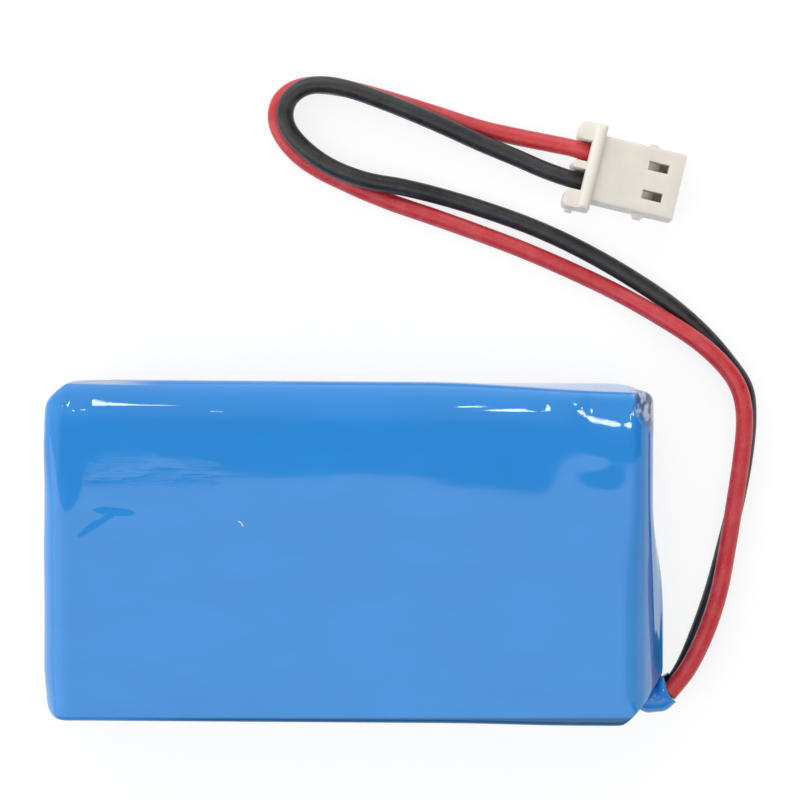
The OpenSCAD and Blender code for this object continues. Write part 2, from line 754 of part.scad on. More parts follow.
// A lock boss with sloping ends on each narrow side of the body.
module lock_bosses() {
    for (side = [0, 1]) {
        mirror([0, side, 0]) translate([boss_x, plug_w / 2, boss_z]) linear_extrude(boss_h) polygon([
            [-boss_l / 2, -eps], [boss_l / 2, -eps],
            [boss_l / 2 - boss_out, boss_out], [-boss_l / 2 + boss_out / 2, boss_out]
        ]);
    }
}

// The room for one terminal: its cavity, the window for its lance and the pin's hole.
module way(y) {
    translate([0, y, plug_z]) {
        translate([-flange_t - eps, -cavity_w / 2, -cavity_h / 2])
            cube([flange_t + eps + cavity_end, cavity_w, cavity_h]);
        translate([window_x, -window_w / 2, 0]) cube([window_l, window_w, plug_h]);
        translate([0, -pin_hole / 2, -pin_hole / 2]) cube([plug_l + eps, pin_hole, pin_hole]);
    }
}

module connector_housing() {
    color([0.87, 0.83, 0.76]) in_plug() difference() {
        union() {
            housing_body();
            flange_bar();
            ears();
            lock_bosses();
        }
        way(way_y);
        way(-way_y);
    }
}

shrink_sleeve();
lower_cell();
upper_cell();
lower_positive_tab();
lower_negative_tab();
upper_positive_tab();
upper_negative_tab();
tab_seals();
cell_bond_tape();
amber_tapes();
series_link();
protection_board();
switch_chips();
protection_chip();
chip_resistors();
chip_capacitors();
tab_solder();
lead_solder();
board_strands();
rear_paper();
front_paper();
red_inner_lead();
black_inner_lead();
red_lead();
black_lead();
red_strands();
black_strands();
red_terminal();
black_terminal();
connector_housing();
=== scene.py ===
"""Looks of a two-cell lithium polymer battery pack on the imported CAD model's frame.

The pack lies flat in its glossy blue shrink film. Its two soft leads leave the film's
front corner, run past the front end, turn back in a loop on the north side and end in an
ivory crimp plug. Everything is in metres and in the CAD model's own frame, unless it says
millimetres. The pack's front is at +X, where the leads are, and its north side is at +Y.
"""

import logging
import math
from dataclasses import dataclass
from enum import Enum
from typing import Any, Protocol, Sequence

import bmesh
import bpy
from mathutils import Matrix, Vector


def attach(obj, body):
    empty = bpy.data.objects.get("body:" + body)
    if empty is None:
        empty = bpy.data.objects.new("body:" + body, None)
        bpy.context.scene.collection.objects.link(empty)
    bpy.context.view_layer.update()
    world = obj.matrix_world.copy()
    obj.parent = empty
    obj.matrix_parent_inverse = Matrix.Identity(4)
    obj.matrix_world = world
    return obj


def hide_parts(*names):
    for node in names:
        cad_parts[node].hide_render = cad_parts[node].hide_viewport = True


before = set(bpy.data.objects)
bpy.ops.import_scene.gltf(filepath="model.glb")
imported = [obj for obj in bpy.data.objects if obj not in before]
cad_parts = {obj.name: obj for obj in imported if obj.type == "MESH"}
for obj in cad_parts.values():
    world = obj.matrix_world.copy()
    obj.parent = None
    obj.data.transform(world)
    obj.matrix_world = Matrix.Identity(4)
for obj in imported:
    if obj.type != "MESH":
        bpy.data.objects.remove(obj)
log = logging.getLogger("battery_pack")

MM = 0.001
Point = tuple[float, float, float]
Colour = tuple[float, float, float]
Knots = Sequence[tuple[float, float]]
Section = Sequence[tuple[float, float, float]]


def smooth(low: float, high: float, value: float) -> float:
    """Eases from 0 at low to 1 at high, and stays there.

    Args:
        low: Where the step starts.
        high: Where the step ends.
        value: The place on the step.

    Returns:
        A share from 0 to 1.
    """
    t = min(max((value - low) / (high - low), 0.0), 1.0)
    return t * t * (3 - 2 * t)


def eased(knots: Knots, x: float) -> float:
    """Reads a soft curve that passes through its knots.

    Args:
        knots: Places and values, in rising order of place.
        x: The place to read.

    Returns:
        The value there. Beyond the ends it keeps the end's value.
    """
    if x <= knots[0][0]:
        return knots[0][1]
    for (x0, v0), (x1, v1) in zip(knots, knots[1:]):
        if x <= x1:
            return v0 + (v1 - v0) * smooth(x0, x1, x)
    return knots[-1][1]


def drawn(knots: Knots, x: float, blur: float) -> float:
    """Reads straight lines between knots, with their corners rounded off.

    Args:
        knots: Places and values, in rising order of place.
        x: The place to read.
        blur: Half the stretch that a corner is rounded over.

    Returns:
        The value there. Beyond the ends it keeps the end's value.
    """
    total = 0.0
    for step in (-1.0, -0.5, 0.0, 0.5, 1.0):
        at = x + step * blur
        value = knots[-1][1]
        if at <= knots[0][0]:
            value = knots[0][1]
        else:
            for (x0, v0), (x1, v1) in zip(knots, knots[1:]):
                if at <= x1:
                    value = v0 + (v1 - v0) * (at - x0) / (x1 - x0)
                    break
        total += value
    return total / 5


def flowing(knots: Sequence[tuple[float, ...]], x: float) -> tuple[float, ...]:
    """Reads a curve that runs smoothly through its knots and has no corner at them.

    Args:
        knots: A place and one or more values each, in rising order of place.
        x: The place to read.

    Returns:
        The values there. Beyond the ends it keeps the end's values.
    """
    if x <= knots[0][0]:
        return tuple(knots[0][1:])
    if x >= knots[-1][0]:
        return tuple(knots[-1][1:])
    i = max(i for i, knot in enumerate(knots) if knot[0] <= x)
    here, there = knots[i], knots[i + 1]
    before, after = knots[max(i - 1, 0)], knots[min(i + 2, len(knots) - 1)]
    span = there[0] - here[0]
    t = (x - here[0]) / span
    values = []
    for v in range(1, len(here)):
        leave = (there[v] - before[v]) / (there[0] - before[0]) * span
        arrive = (after[v] - here[v]) / (after[0] - here[0]) * span
        values.append((2 * t ** 3 - 3 * t * t + 1) * here[v] + (t ** 3 - 2 * t * t + t) * leave
                      + (3 * t * t - 2 * t ** 3) * there[v] + (t ** 3 - t * t) * arrive)
    return tuple(values)


def hump(x: float, middle: float, half_width: float) -> float:
    """A bell of height 1 round its middle, which has faded at half_width times two."""
    return math.exp(-(((x - middle) / half_width) ** 2))


# ---------------------------------------------------------------------------
# Shader graph


class Wire:
    """One shader socket that takes part in sums and products."""

    def __init__(self, graph: "NodeGraph", socket: bpy.types.NodeSocket) -> None:
        """Keeps the graph and the socket that the value comes from."""
        self.graph = graph
        self.socket = socket

    def maths(self, operation: str, *others: "Wire | float") -> "Wire":
        """Makes one Math node from this value and others.

        Args:
            operation: The Math node's operation.
            *others: Its other inputs.

        Returns:
            The node's result.
        """
        inputs = {i: value for i, value in enumerate((self, *others))}
        return self.graph.make("ShaderNodeMath", inputs, operation=operation)

    def __add__(self, other: "Wire | float") -> "Wire":
        """Sum."""
        return self.maths("ADD", other)

    def __radd__(self, other: float) -> "Wire":
        """Sum with a number in front."""
        return self.maths("ADD", other)

    def __sub__(self, other: "Wire | float") -> "Wire":
        """Difference."""
        return self.maths("SUBTRACT", other)

    def __rsub__(self, other: float) -> "Wire":
        """Difference from a number."""
        return self.maths("MULTIPLY", -1.0).maths("ADD", other)

    def __mul__(self, other: "Wire | float") -> "Wire":
        """Product."""
        return self.maths("MULTIPLY", other)

    def __rmul__(self, other: float) -> "Wire":
        """Product with a number in front."""
        return self.maths("MULTIPLY", other)

    def eased(self, low: float, high: float) -> "Wire":
        """Eases from 0 at low to 1 at high.

        Args:
            low: Where the step starts.
            high: Where the step ends.

        Returns:
            A share from 0 to 1.
        """
        inputs = {"Value": self, "From Min": low, "From Max": high}
        return self.graph.make("ShaderNodeMapRange", inputs, interpolation_type="SMOOTHSTEP")

    def over(self, low: float, high: float) -> "Wire":
        """Eases from 0 at low to 1 at high, which are both in millimetres."""
        return self.eased(low * MM, high * MM)


class NodeGraph:
    """Emptied node tree, and the one method that adds a node to it."""

    def __init__(self, tree: bpy.types.NodeTree) -> None:
        """Empties the tree."""
        self.tree = tree
        self.tree.nodes.clear()

    def make(
        self, kind: str, inputs: dict[Any, Any] | None = None, out: int | str = 0, **settings: Any
    ) -> Wire:
        """Makes one node.

        Args:
            kind: The node's Blender type.
            inputs: A value or a wire for each input, by its name or number.
            out: The output that is handed back, by its name or number.
            **settings: The node's own settings.

        Returns:
            The chosen output.
        """
        node = self.tree.nodes.new(kind)
        for name, value in settings.items():
            setattr(node, name, value)
        for name, value in (inputs or {}).items():
            if isinstance(value, Wire):
                self.tree.links.new(value.socket, node.inputs[name])
            else:
                node.inputs[name].default_value = value
        return Wire(self, node.outputs[out])


class ShaderGraph(NodeGraph):
    """Node tree of one material, with its Principled shader already in place."""

    def __init__(self, name: str) -> None:
        """Makes an empty material.

        Args:
            name: The material's name.
        """
        self.material = bpy.data.materials.new(name)
        self.material.use_nodes = True
        super().__init__(self.material.node_tree)
        self.output = self.tree.nodes.new("ShaderNodeOutputMaterial")
        self.shader = self.tree.nodes.new("ShaderNodeBsdfPrincipled")
        self.tree.links.new(self.shader.outputs["BSDF"], self.output.inputs["Surface"])

    def place(self, stretch: Point = (1, 1, 1), turn: Point = (0, 0, 0)) -> Wire:
        """The piece's own coordinates in metres, stretched for a pattern.

        Args:
            stretch: How much denser the pattern is along each axis.
            turn: Turn about each axis, in radians.

        Returns:
            A vector.
        """
        coords = self.make("ShaderNodeTexCoord", out="Object")
        return self.make(
            "ShaderNodeMapping", {"Vector": coords, "Scale": stretch, "Rotation": turn}
        )

    def axis(self, letter: str) -> Wire:
        """The piece's own X, Y or Z in metres."""
        return self.make("ShaderNodeSeparateXYZ", {"Vector": self.place()}, out=letter)

    def grain(self, size: float, detail: float = 2.0, stretch: Point = (1, 1, 1)) -> Wire:
        """Cloudy noise.

        Args:
            size: Size of a patch, in metres.
            detail: Number of finer layers.
            stretch: How much denser the noise is along each axis.

        Returns:
            A value from about 0.2 to 0.8.
        """
        inputs = {"Vector": self.place(stretch), "Scale": 1 / size, "Detail": detail}
        return self.make("ShaderNodeTexNoise", inputs)

    def flat(self, colour: Colour) -> Wire:
        """One plain linear colour."""
        return self.make("ShaderNodeCombineColor", dict(enumerate(colour)))

    def blend(self, share: Wire, low: Wire, high: Wire) -> Wire:
        """Mixes two colours.

        Args:
            share: 0 gives low and 1 gives high.
            low: A colour.
            high: A colour.

        Returns:
            The mixed colour.
        """
        inputs = {0: share, 6: low, 7: high}
        return self.make("ShaderNodeMix", inputs, out=2, data_type="RGBA")

    def tint(self, share: Wire, low: Colour, high: Colour) -> Wire:
        """Mixes two plain linear colours, low at 0 and high at 1."""
        return self.blend(share, self.flat(low), self.flat(high))

    def stroke(
        self, start: tuple[float, float], end: tuple[float, float], half_width: float
    ) -> Wire:
        """Mask of one short straight stroke on the top, with narrowed ends.

        Args:
            start: Where it starts, in millimetres along and across the pack.
            end: Where it ends.
            half_width: Half its width, in millimetres.

        Returns:
            1 on the stroke and 0 beside it.
        """
        run = Vector(end) - Vector(start)
        across = self.axis("X") - start[0] * MM, self.axis("Y") - start[1] * MM
        size = run.length * MM
        way = run.normalized()
        along = across[0] * way.x + across[1] * way.y
        along = along.maths("MAXIMUM", 0.0).maths("MINIMUM", size)
        gap = across[0] - along * way.x, across[1] - along * way.y
        distance = (gap[0] * gap[0] + gap[1] * gap[1]).maths("SQRT")
        middle = along * (2 / size) - 1.0
        distance = distance + middle * middle * middle * middle * (half_width * 0.8 * MM)
        return 1.0 - distance.eased(half_width * 0.75 * MM, half_width * 1.15 * MM)

    def bump(self, height: Wire, depth: float, under: Wire | None = None) -> Wire:
        """Fine relief.

        Args:
            height: A pattern from 0 to 1.
            depth: The pattern's real depth, in metres.
            under: Relief that this one lies on.

        Returns:
            A normal.
        """
        inputs: dict[str, Any] = {"Height": height, "Distance": depth, "Strength": 1.0}
        if under is not None:
            inputs["Normal"] = under
        return self.make("ShaderNodeBump", inputs)

    def dress(self, constants: dict[str, Any], **varying: Wire) -> bpy.types.Material:
        """Sets the shader and hands over the finished material.

        Args:
            constants: Values for the shader's own sockets.
            **varying: Wires for the shader's sockets, with _ for a space in the name.

        Returns:
            The material.
        """
        for name, value in constants.items():
            self.shader.inputs[name].default_value = value
        for name, wire in varying.items():
            self.tree.links.new(wire.socket, self.shader.inputs[name.replace("_", " ")])
        return self.material


# ---------------------------------------------------------------------------
# Finishes


def shade(colour: Colour, factor: float) -> Colour:
    """The colour times a factor."""
    return (colour[0] * factor, colour[1] * factor, colour[2] * factor)


class Finish(Protocol):
    """What all finishes have in common."""

    def material(self) -> bpy.types.Material:
        """Builds the material."""


@dataclass(frozen=True)
class FilmFinish:
    """Glossy shrink film, with the lines, creases and folds that shrinking leaves."""

    colour: Colour = (0.029, 0.254, 0.685)
    # Painted shade and painted reflection that blotch the crumpled corner.
    painted_fold_shade: Colour = (0.05, 0.085, 0.2)
    painted_fold_reflection: Colour = (0.56, 0.61, 0.7)
    # Pale grey of a strip along the north edge beside the rear end.
    north_edge_grey: Colour = (0.55, 0.56, 0.56)
    dust: Colour = (0.8, 0.83, 0.86)
    # Colour factor of the painted shade along the top of the south edge.
    painted_south_shade: float = 0.2
    roughness: float = 0.024
    crumpled_roughness: float = 0.16
    line_depth: float = 0.0016 * MM
    band_depth: float = 0.003 * MM
    swell_depth: float = 0.001 * MM
    crumple_depth: float = 0.35 * MM
    crease_slope: float = -0.014
    crease_from: float = 2.6 * MM

    def material(self) -> bpy.types.Material:
        """Builds the material.

        Returns:
            The material.
        """
        g = ShaderGraph("blue_film")
        x, y, z = g.axis("X"), g.axis("Y"), g.axis("Z")
        top = z.over(11, 11.8)
        # Painted shade darkens the top of the film's south edge, a pale grey strip runs along
        # the north edge beside the rear end, and painted shade and painted reflections blotch
        # the film where it is crumpled into the front north corner.
        painted_south_shade_mask = 1.0 - (y - x * 0.0075).over(-13.75, -13.45)
        painted_south_shade_mask = painted_south_shade_mask * z.over(9.4, 10.6) * x.over(-22, -10)
        crumpled = (x + y).over(34.6, 36.2) * y.over(9.2, 10.6) * x.over(23.2, 23.9)
        north_edge_strip = (y + x * 0.012).over(13.42, 13.56) * z.over(10.5, 11.2)
        north_edge_strip = north_edge_strip * (1.0 - x.over(-20, -15.5))
        cloud = g.grain(9 * MM, 2, (1, 2.5, 1)).eased(0.3, 0.7)
        plain = g.tint(cloud, shade(self.colour, 0.97), shade(self.colour, 1.03))
        folds = g.grain(0.5 * MM, 3, (1, 0.5, 0.35))
        # Painted shade and painted reflections for the crumpled corner's folds.
        pale = g.tint(folds.eased(0.42, 0.58), self.painted_fold_shade, self.painted_fold_reflection)
        # Colour of the painted shade along the top of the south edge.
        shadow = g.flat(shade(self.colour, self.painted_south_shade))
        colour = g.blend(painted_south_shade_mask * 0.75, plain, shadow)
        colour = g.blend(north_edge_strip * 0.8, colour, g.flat(self.north_edge_grey))
        colour = g.blend(crumpled * 0.85, colour, pale)
        # One bent speck of dust lies on the top.
        speck = g.stroke((-9.03, 2.55), (-8.75, 2.4), 0.05)
        speck = speck.maths("MAXIMUM", g.stroke((-8.75, 2.4), (-8.62, 2.1), 0.05))
        colour = g.blend(speck * 0.8 * top, colour, g.flat(self.dust))
        # Fine drawing lines run along the pack, and are strongest beside the rear end.
        lines = g.grain(0.12 * MM, 3, (0.07, 1, 1))
        broad = g.grain(0.9 * MM, 1.5, (0.09, 1.6, 1.6))
        rear = (1.0 - x.over(-14, -9)) * x.over(-22.5, -20.5)
        belt = y.over(4.6, 5.8) * (1.0 - y.over(7.6, 9.2))
        front = x.over(12, 16) * y.over(4.0, 6.0)
        patches = g.grain(1.5 * MM, 2, (0.35, 1, 1)).eased(0.38, 0.6)
        scored = rear * belt * patches * 2.2 + front * 0.22 + 0.04
        relief = g.bump(lines * scored * top, self.line_depth)
        relief = g.bump(broad * (rear * belt * 0.6 + 0.12) * top, self.band_depth, relief)
        relief = g.bump(g.grain(2.4 * MM, 1, (0.5, 1, 1)), self.swell_depth, relief)
        # A shallow angular crease beside the rear end tilts two narrow strips of the top.
        crease = g.stroke((-20.9, 3.45), (-17.5, 3.2), 0.36)
        crease = crease.maths("MAXIMUM", g.stroke((-19.1, 3.25), (-22.2, 1.15), 0.31))
        ramp = (y - self.crease_from) * self.crease_slope
        relief = g.bump(crease * ramp * top * (1 / MM), 1.0 * MM, relief)
        relief = g.bump(folds * crumpled, self.crumple_depth, relief)
        rough = g.grain(3 * MM, 3).eased(0.2, 0.8) * 0.014 + (self.roughness - 0.005)
        rough = rough + crumpled * self.crumpled_roughness
        return g.dress({"IOR": 1.49}, Base_Color=colour, Roughness=rough, Normal=relief)


@dataclass(frozen=True)
class PvcFinish:
    """Soft PVC of a lead, a little dusty and never quite smooth."""

    name: str
    colour: Colour
    worn: Colour
    roughness: float = 0.34

    def material(self) -> bpy.types.Material:
        """Builds the material.

        Returns:
            The material.
        """
        g = ShaderGraph(self.name)
        cloud = g.grain(1.6 * MM, 4).eased(0.35, 0.75)
        specks = g.grain(0.16 * MM, 2).eased(0.58, 0.74)
        colour = g.tint(cloud * 0.55 + specks * 0.45, self.colour, self.worn)
        rough = g.grain(0.7 * MM, 3).eased(0.3, 0.7) * 0.16 + (self.roughness - 0.08)
        relief = g.bump(g.grain(0.45 * MM, 3), 0.04 * MM)
        relief = g.bump(g.grain(0.09 * MM, 2), 0.0035 * MM, relief)
        constants = {"IOR": 1.5, "Sheen Weight": 0.03, "Sheen Roughness": 0.5}
        return g.dress(constants, Base_Color=colour, Roughness=rough, Normal=relief)


@dataclass(frozen=True)
class MouldedFinish:
    """Moulded plastic with a fine spark-eroded grain."""

    name: str
    colour: Colour
    roughness: float = 0.4
    grain_size: float = 0.12 * MM
    grain_depth: float = 0.003 * MM
    glow: float = 0.0

    def material(self) -> bpy.types.Material:
        """Builds the material.

        Returns:
            The material.
        """
        g = ShaderGraph(self.name)
        flow = g.grain(2.2 * MM, 3, (1, 0.4, 1)).eased(0.3, 0.7)
        colour = g.tint(flow, shade(self.colour, 0.965), shade(self.colour, 1.02))
        rough = g.grain(0.5 * MM, 3).eased(0.3, 0.7) * 0.1 + (self.roughness - 0.05)
        relief = g.bump(g.grain(self.grain_size, 2), self.grain_depth)
        constants = {"Subsurface Weight": self.glow, "Subsurface Radius": (1.0, 0.85, 0.7),
                     "Subsurface Scale": 0.8 * MM}
        return g.dress(constants, Base_Color=colour, Roughness=rough, Normal=relief)


@dataclass(frozen=True)
class MetalFinish:
    """Sheet metal with rolling lines along one axis, and dull patches."""

    name: str
    colour: Colour
    roughness: float = 0.3
    stretch: Point = (0.12, 1, 1)
    depth: float = 0.0015 * MM
    metallic: float = 1.0

    def material(self) -> bpy.types.Material:
        """Builds the material.

        Returns:
            The material.
        """
        g = ShaderGraph(self.name)
        lines = g.grain(0.07 * MM, 3, self.stretch)
        dull = g.grain(0.9 * MM, 3).eased(0.35, 0.7)
        colour = g.tint(dull, self.colour, shade(self.colour, 0.82))
        rough = lines * 0.16 + dull * 0.12 + (self.roughness - 0.1)
        relief = g.bump(lines, self.depth)
        fixed = {"Metallic": self.metallic}
        return g.dress(fixed, Base_Color=colour, Roughness=rough, Normal=relief)


@dataclass(frozen=True)
class FoilFinish:
    """Laminate foil of a pouch cell, lightly puckered."""

    name: str = "pouch_foil"
    colour: Colour = (0.72, 0.73, 0.75)

    def material(self) -> bpy.types.Material:
        """Builds the material.

        Returns:
            The material.
        """
        g = ShaderGraph(self.name)
        pucker = g.grain(1.8 * MM, 3)
        colour = g.tint(pucker.eased(0.35, 0.65), shade(self.colour, 0.93), self.colour)
        rough = g.grain(0.3 * MM, 2) * 0.15 + 0.26
        relief = g.bump(pucker, 0.03 * MM)
        relief = g.bump(g.grain(0.08 * MM, 1), 0.001 * MM, relief)
        return g.dress({"Metallic": 0.9}, Base_Color=colour, Roughness=rough, Normal=relief)


@dataclass(frozen=True)
class FibreFinish:
    """Insulating paper or cloth tape, with fibres that lie every way."""

    name: str
    colour: Colour
    fibre: float = 0.25 * MM

    def material(self) -> bpy.types.Material:
        """Builds the material.

        Returns:
            The material.
        """
        g = ShaderGraph(self.name)
        along = g.grain(self.fibre, 4, (1, 0.25, 1))
        across = g.grain(self.fibre, 4, (1, 1, 0.25))
        fibres = along.maths("MAXIMUM", across)
        colour = g.tint(fibres.eased(0.4, 0.7), shade(self.colour, 0.88), self.colour)
        rough = fibres * 0.2 + 0.68
        return g.dress({}, Base_Color=colour, Roughness=rough, Normal=g.bump(fibres, 0.02 * MM))


@dataclass(frozen=True)
class StrandFinish:
    """Bundle of fine tinned copper strands, laid in a long twist."""

    name: str = "copper_strands"
    copper: Colour = (0.75, 0.42, 0.25)
    tin: Colour = (0.62, 0.55, 0.48)

    def material(self) -> bpy.types.Material:
        """Builds the material.

        Returns:
            The material.
        """
        g = ShaderGraph(self.name)
        inputs = {"Vector": g.place((1, 1, 1), (0.2, 0.35, 0.4)), "Scale": 1 / (0.5 * MM),
                  "Distortion": 0.4, "Detail": 1.0}
        lay = g.make("ShaderNodeTexWave", inputs, out=1, bands_direction="Z")
        colour = g.tint(g.grain(0.4 * MM, 2).eased(0.4, 0.65), self.copper, self.tin)
        rough = lay * 0.12 + 0.26
        relief = g.bump(lay, 0.03 * MM)
        return g.dress({"Metallic": 1.0}, Base_Color=colour, Roughness=rough, Normal=relief)


@dataclass(frozen=True)
class BoardFinish:
    """Green solder mask over the weave of a glass-fibre board."""

    name: str = "board_green"
    colour: Colour = (0.02, 0.16, 0.07)
    track: Colour = (0.04, 0.24, 0.1)

    def material(self) -> bpy.types.Material:
        """Builds the material.

        Returns:
            The material.
        """
        g = ShaderGraph(self.name)
        inputs = {"Vector": g.place(), "Scale": 1 / (2.6 * MM), "Randomness": 0.15}
        cells = g.make("ShaderNodeTexVoronoi", inputs, feature="F1", distance="CHEBYCHEV")
        tracks = cells.eased(0.36, 0.4)
        weave = g.grain(0.35 * MM, 1, (1, 0.5, 0.5))
        colour = g.tint(tracks, self.colour, self.track)
        relief = g.bump(tracks * 0.7 + weave * 0.3, 0.03 * MM)
        rough = weave * 0.12 + 0.22
        return g.dress({}, Base_Color=colour, Roughness=rough, Normal=relief)


@dataclass(frozen=True)
class AmberFinish:
    """Thin amber film tape that the metal below shines through."""

    name: str = "amber_tape"
    colour: Colour = (0.62, 0.3, 0.04)

    def material(self) -> bpy.types.Material:
        """Builds the material.

        Returns:
            The material.
        """
        g = ShaderGraph(self.name)
        bubbles = g.grain(0.8 * MM, 2).eased(0.5, 0.62)
        colour = g.tint(bubbles, self.colour, shade(self.colour, 1.35))
        rough = bubbles * 0.1 + 0.12
        relief = g.bump(bubbles, 0.01 * MM)
        constants = {"Coat Roughness": 0.08}
        return g.dress(constants, Base_Color=colour, Roughness=rough, Normal=relief)


FILM = FilmFinish()
RED_PVC = PvcFinish("red_pvc", (0.55, 0.022, 0.03), (0.66, 0.085, 0.095))
BLACK_PVC = PvcFinish("black_pvc", (0.011, 0.011, 0.0125), (0.035, 0.035, 0.038), 0.36)
IVORY = MouldedFinish("ivory_plastic", (0.81, 0.765, 0.69), 0.42, glow=0.5)
CHIP_BLACK = MouldedFinish("chip_black", (0.03, 0.03, 0.032), 0.55, 0.06 * MM)
CHIP_TAN = MouldedFinish("chip_tan", (0.5, 0.38, 0.25), 0.5, 0.08 * MM)
SEAL = MouldedFinish("seal_plastic", (0.75, 0.7, 0.6), 0.35, 0.2 * MM)
TERMINAL = MetalFinish("terminal_metal", (0.86, 0.82, 0.74), 0.36, metallic=0.55)
ALUMINIUM = MetalFinish("aluminium_tab", (0.8, 0.8, 0.81), 0.32)
NICKEL = MetalFinish("nickel", (0.7, 0.68, 0.62), 0.27)
SOLDER = MetalFinish("solder", (0.66, 0.67, 0.7), 0.2, (1, 1, 1), 0.004 * MM)
PAPER = FibreFinish("white_paper", (0.82, 0.82, 0.78))
WHITE_TAPE = FibreFinish("white_tape", (0.85, 0.85, 0.83), 0.15 * MM)


# ---------------------------------------------------------------------------
# Making pieces


def add_piece(
    name: str, data: bpy.types.ID, material: bpy.types.Material
) -> bpy.types.Object:
    """Puts a finished piece in the scene, on the model's one body.

    Args:
        name: The piece's name.
        data: Its mesh or curve, whose place is in its points.
        material: Its finish.

    Returns:
        The new object.
    """
    piece = bpy.data.objects.new(name, data)
    bpy.context.scene.collection.objects.link(piece)
    data.materials.clear()
    data.materials.append(material)
    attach(piece, "root")
    return piece


def mesh_from(bm: bmesh.types.BMesh, name: str) -> bpy.types.Mesh:
    """Turns a finished bmesh into a smooth-shaded mesh.

    Args:
        bm: The bmesh, which is freed.
        name: The mesh's name.

    Returns:
        The mesh.
    """
    mesh = bpy.data.meshes.new(name)
    bm.normal_update()
    bm.to_mesh(mesh)
    bm.free()
    mesh.polygons.foreach_set("use_smooth", [True] * len(mesh.polygons))
    return mesh


# ---------------------------------------------------------------------------
# Leads


class Polarity(Enum):
    """Which of the two leads a piece belongs to."""

    RED = "red"
    BLACK = "black"


RED_RUN: tuple[Point, ...] = (
    (0.0289, -0.0101, 0.00405), (0.0305, -0.007, 0.00345), (0.03165, -0.0036, 0.00285),
    (0.0324, 0.0002, 0.00245), (0.033, 0.004, 0.00235), (0.03355, 0.0078, 0.0023),
    (0.0338, 0.0113, 0.0023), (0.0333, 0.0138, 0.0023), (0.032, 0.01575, 0.00225),
    (0.0297, 0.01785, 0.00205), (0.0265, 0.01995, 0.0015), (0.023, 0.02195, 0.00085),
    (0.019, 0.02385, 0.00075), (0.015, 0.02555, 0.00075), (0.011, 0.02705, 0.00075),
    (0.007, 0.02845, 0.00075), (0.003, 0.0298, 0.00075), (-0.0007, 0.03135, 0.00075),
    (-0.0037, 0.0329, 0.00075), (-0.0056, 0.0346, 0.00075), (-0.0066, 0.0365, 0.00075),
    (-0.0064, 0.0382, 0.00075), (-0.0053, 0.0393, 0.00075), (-0.0036, 0.03975, 0.00075),
    (-0.0008, 0.0395, 0.00075), (0.003, 0.03855, 0.00075), (0.007, 0.03735, 0.00075),
    (0.011, 0.0361, 0.00085), (0.0145, 0.0353, 0.0012), (0.0173, 0.0347, 0.0018),
    (0.0191, 0.0343, 0.00205),
)
BLACK_RUN: tuple[Point, ...] = (
    (0.0286, -0.0103, 0.0025), (0.03005, -0.0071, 0.0019), (0.03135, -0.0035, 0.0013),
    (0.0324, 0.0003, 0.0009), (0.0333, 0.004, 0.0008), (0.034, 0.0078, 0.00075),
    (0.0343, 0.0113, 0.00075), (0.034, 0.0138, 0.00075), (0.0327, 0.01585, 0.00075),
    (0.0305, 0.0184, 0.00075), (0.0276, 0.02095, 0.00075), (0.024, 0.02335, 0.00075),
    (0.02, 0.0256, 0.00075), (0.016, 0.02745, 0.00075), (0.012, 0.0289, 0.00075),
    (0.008, 0.0301, 0.0008), (0.0045, 0.0309, 0.0015), (0.001, 0.0315, 0.00205),
    (-0.002, 0.03265, 0.00225), (-0.0044, 0.0344, 0.0022), (-0.0057, 0.0362, 0.0022),
    (-0.0057, 0.0379, 0.00225), (-0.0047, 0.0391, 0.0023), (-0.0031, 0.0396, 0.00235),
    (-0.0006, 0.0393, 0.00235), (0.003, 0.0381, 0.0023), (0.007, 0.0365, 0.0022),
    (0.011, 0.03475, 0.002), (0.0143, 0.0334, 0.00195), (0.0164, 0.0325, 0.00205),
    (0.0184, 0.0318, 0.0021),
)


@dataclass
class PlugFrame:
    """Where the plug lies: its own x runs from the flange to the mating face."""

    flange: tuple[float, float] = (0.021, 0.03245)
    turn: float = math.radians(-13)
    axis_height: float = 0.0021
    way_offset: float = 0.00125

    def point(self, x: float, y: float, z: float) -> Point:
        """A point of the plug in the model's frame.

        Args:
            x: Distance in front of the flange.
            y: Distance across the plug.
            z: Height.

        Returns:
            The point.
        """
        c, s = math.cos(self.turn), math.sin(self.turn)
        return (self.flange[0] + x * c - y * s, self.flange[1] + x * s + y * c, z)


@dataclass(frozen=True)
class SpoutTurn:
    """Turn that the two leads take in the film's spout, one above the other."""

    centre: tuple[float, float] = (25.85 * MM, -10.9 * MM)
    radius: float = 1.9 * MM
    from_degrees: float = 180.0
    sweep_degrees: float = 135.0
    high: float = 4.35 * MM
    low: float = 2.8 * MM

    def point(self, share: float, height: float) -> Point:
        """The middle of a lead that takes the turn.

        Args:
            share: How much of the turn lies behind, from 0 to 1.
            height: The lead's height.

        Returns:
            The point.
        """
        a = math.radians(self.from_degrees + self.sweep_degrees * share)
        x, y = self.centre
        return (x + self.radius * math.cos(a), y + self.radius * math.sin(a), height)


SPOUT_TURN = SpoutTurn()


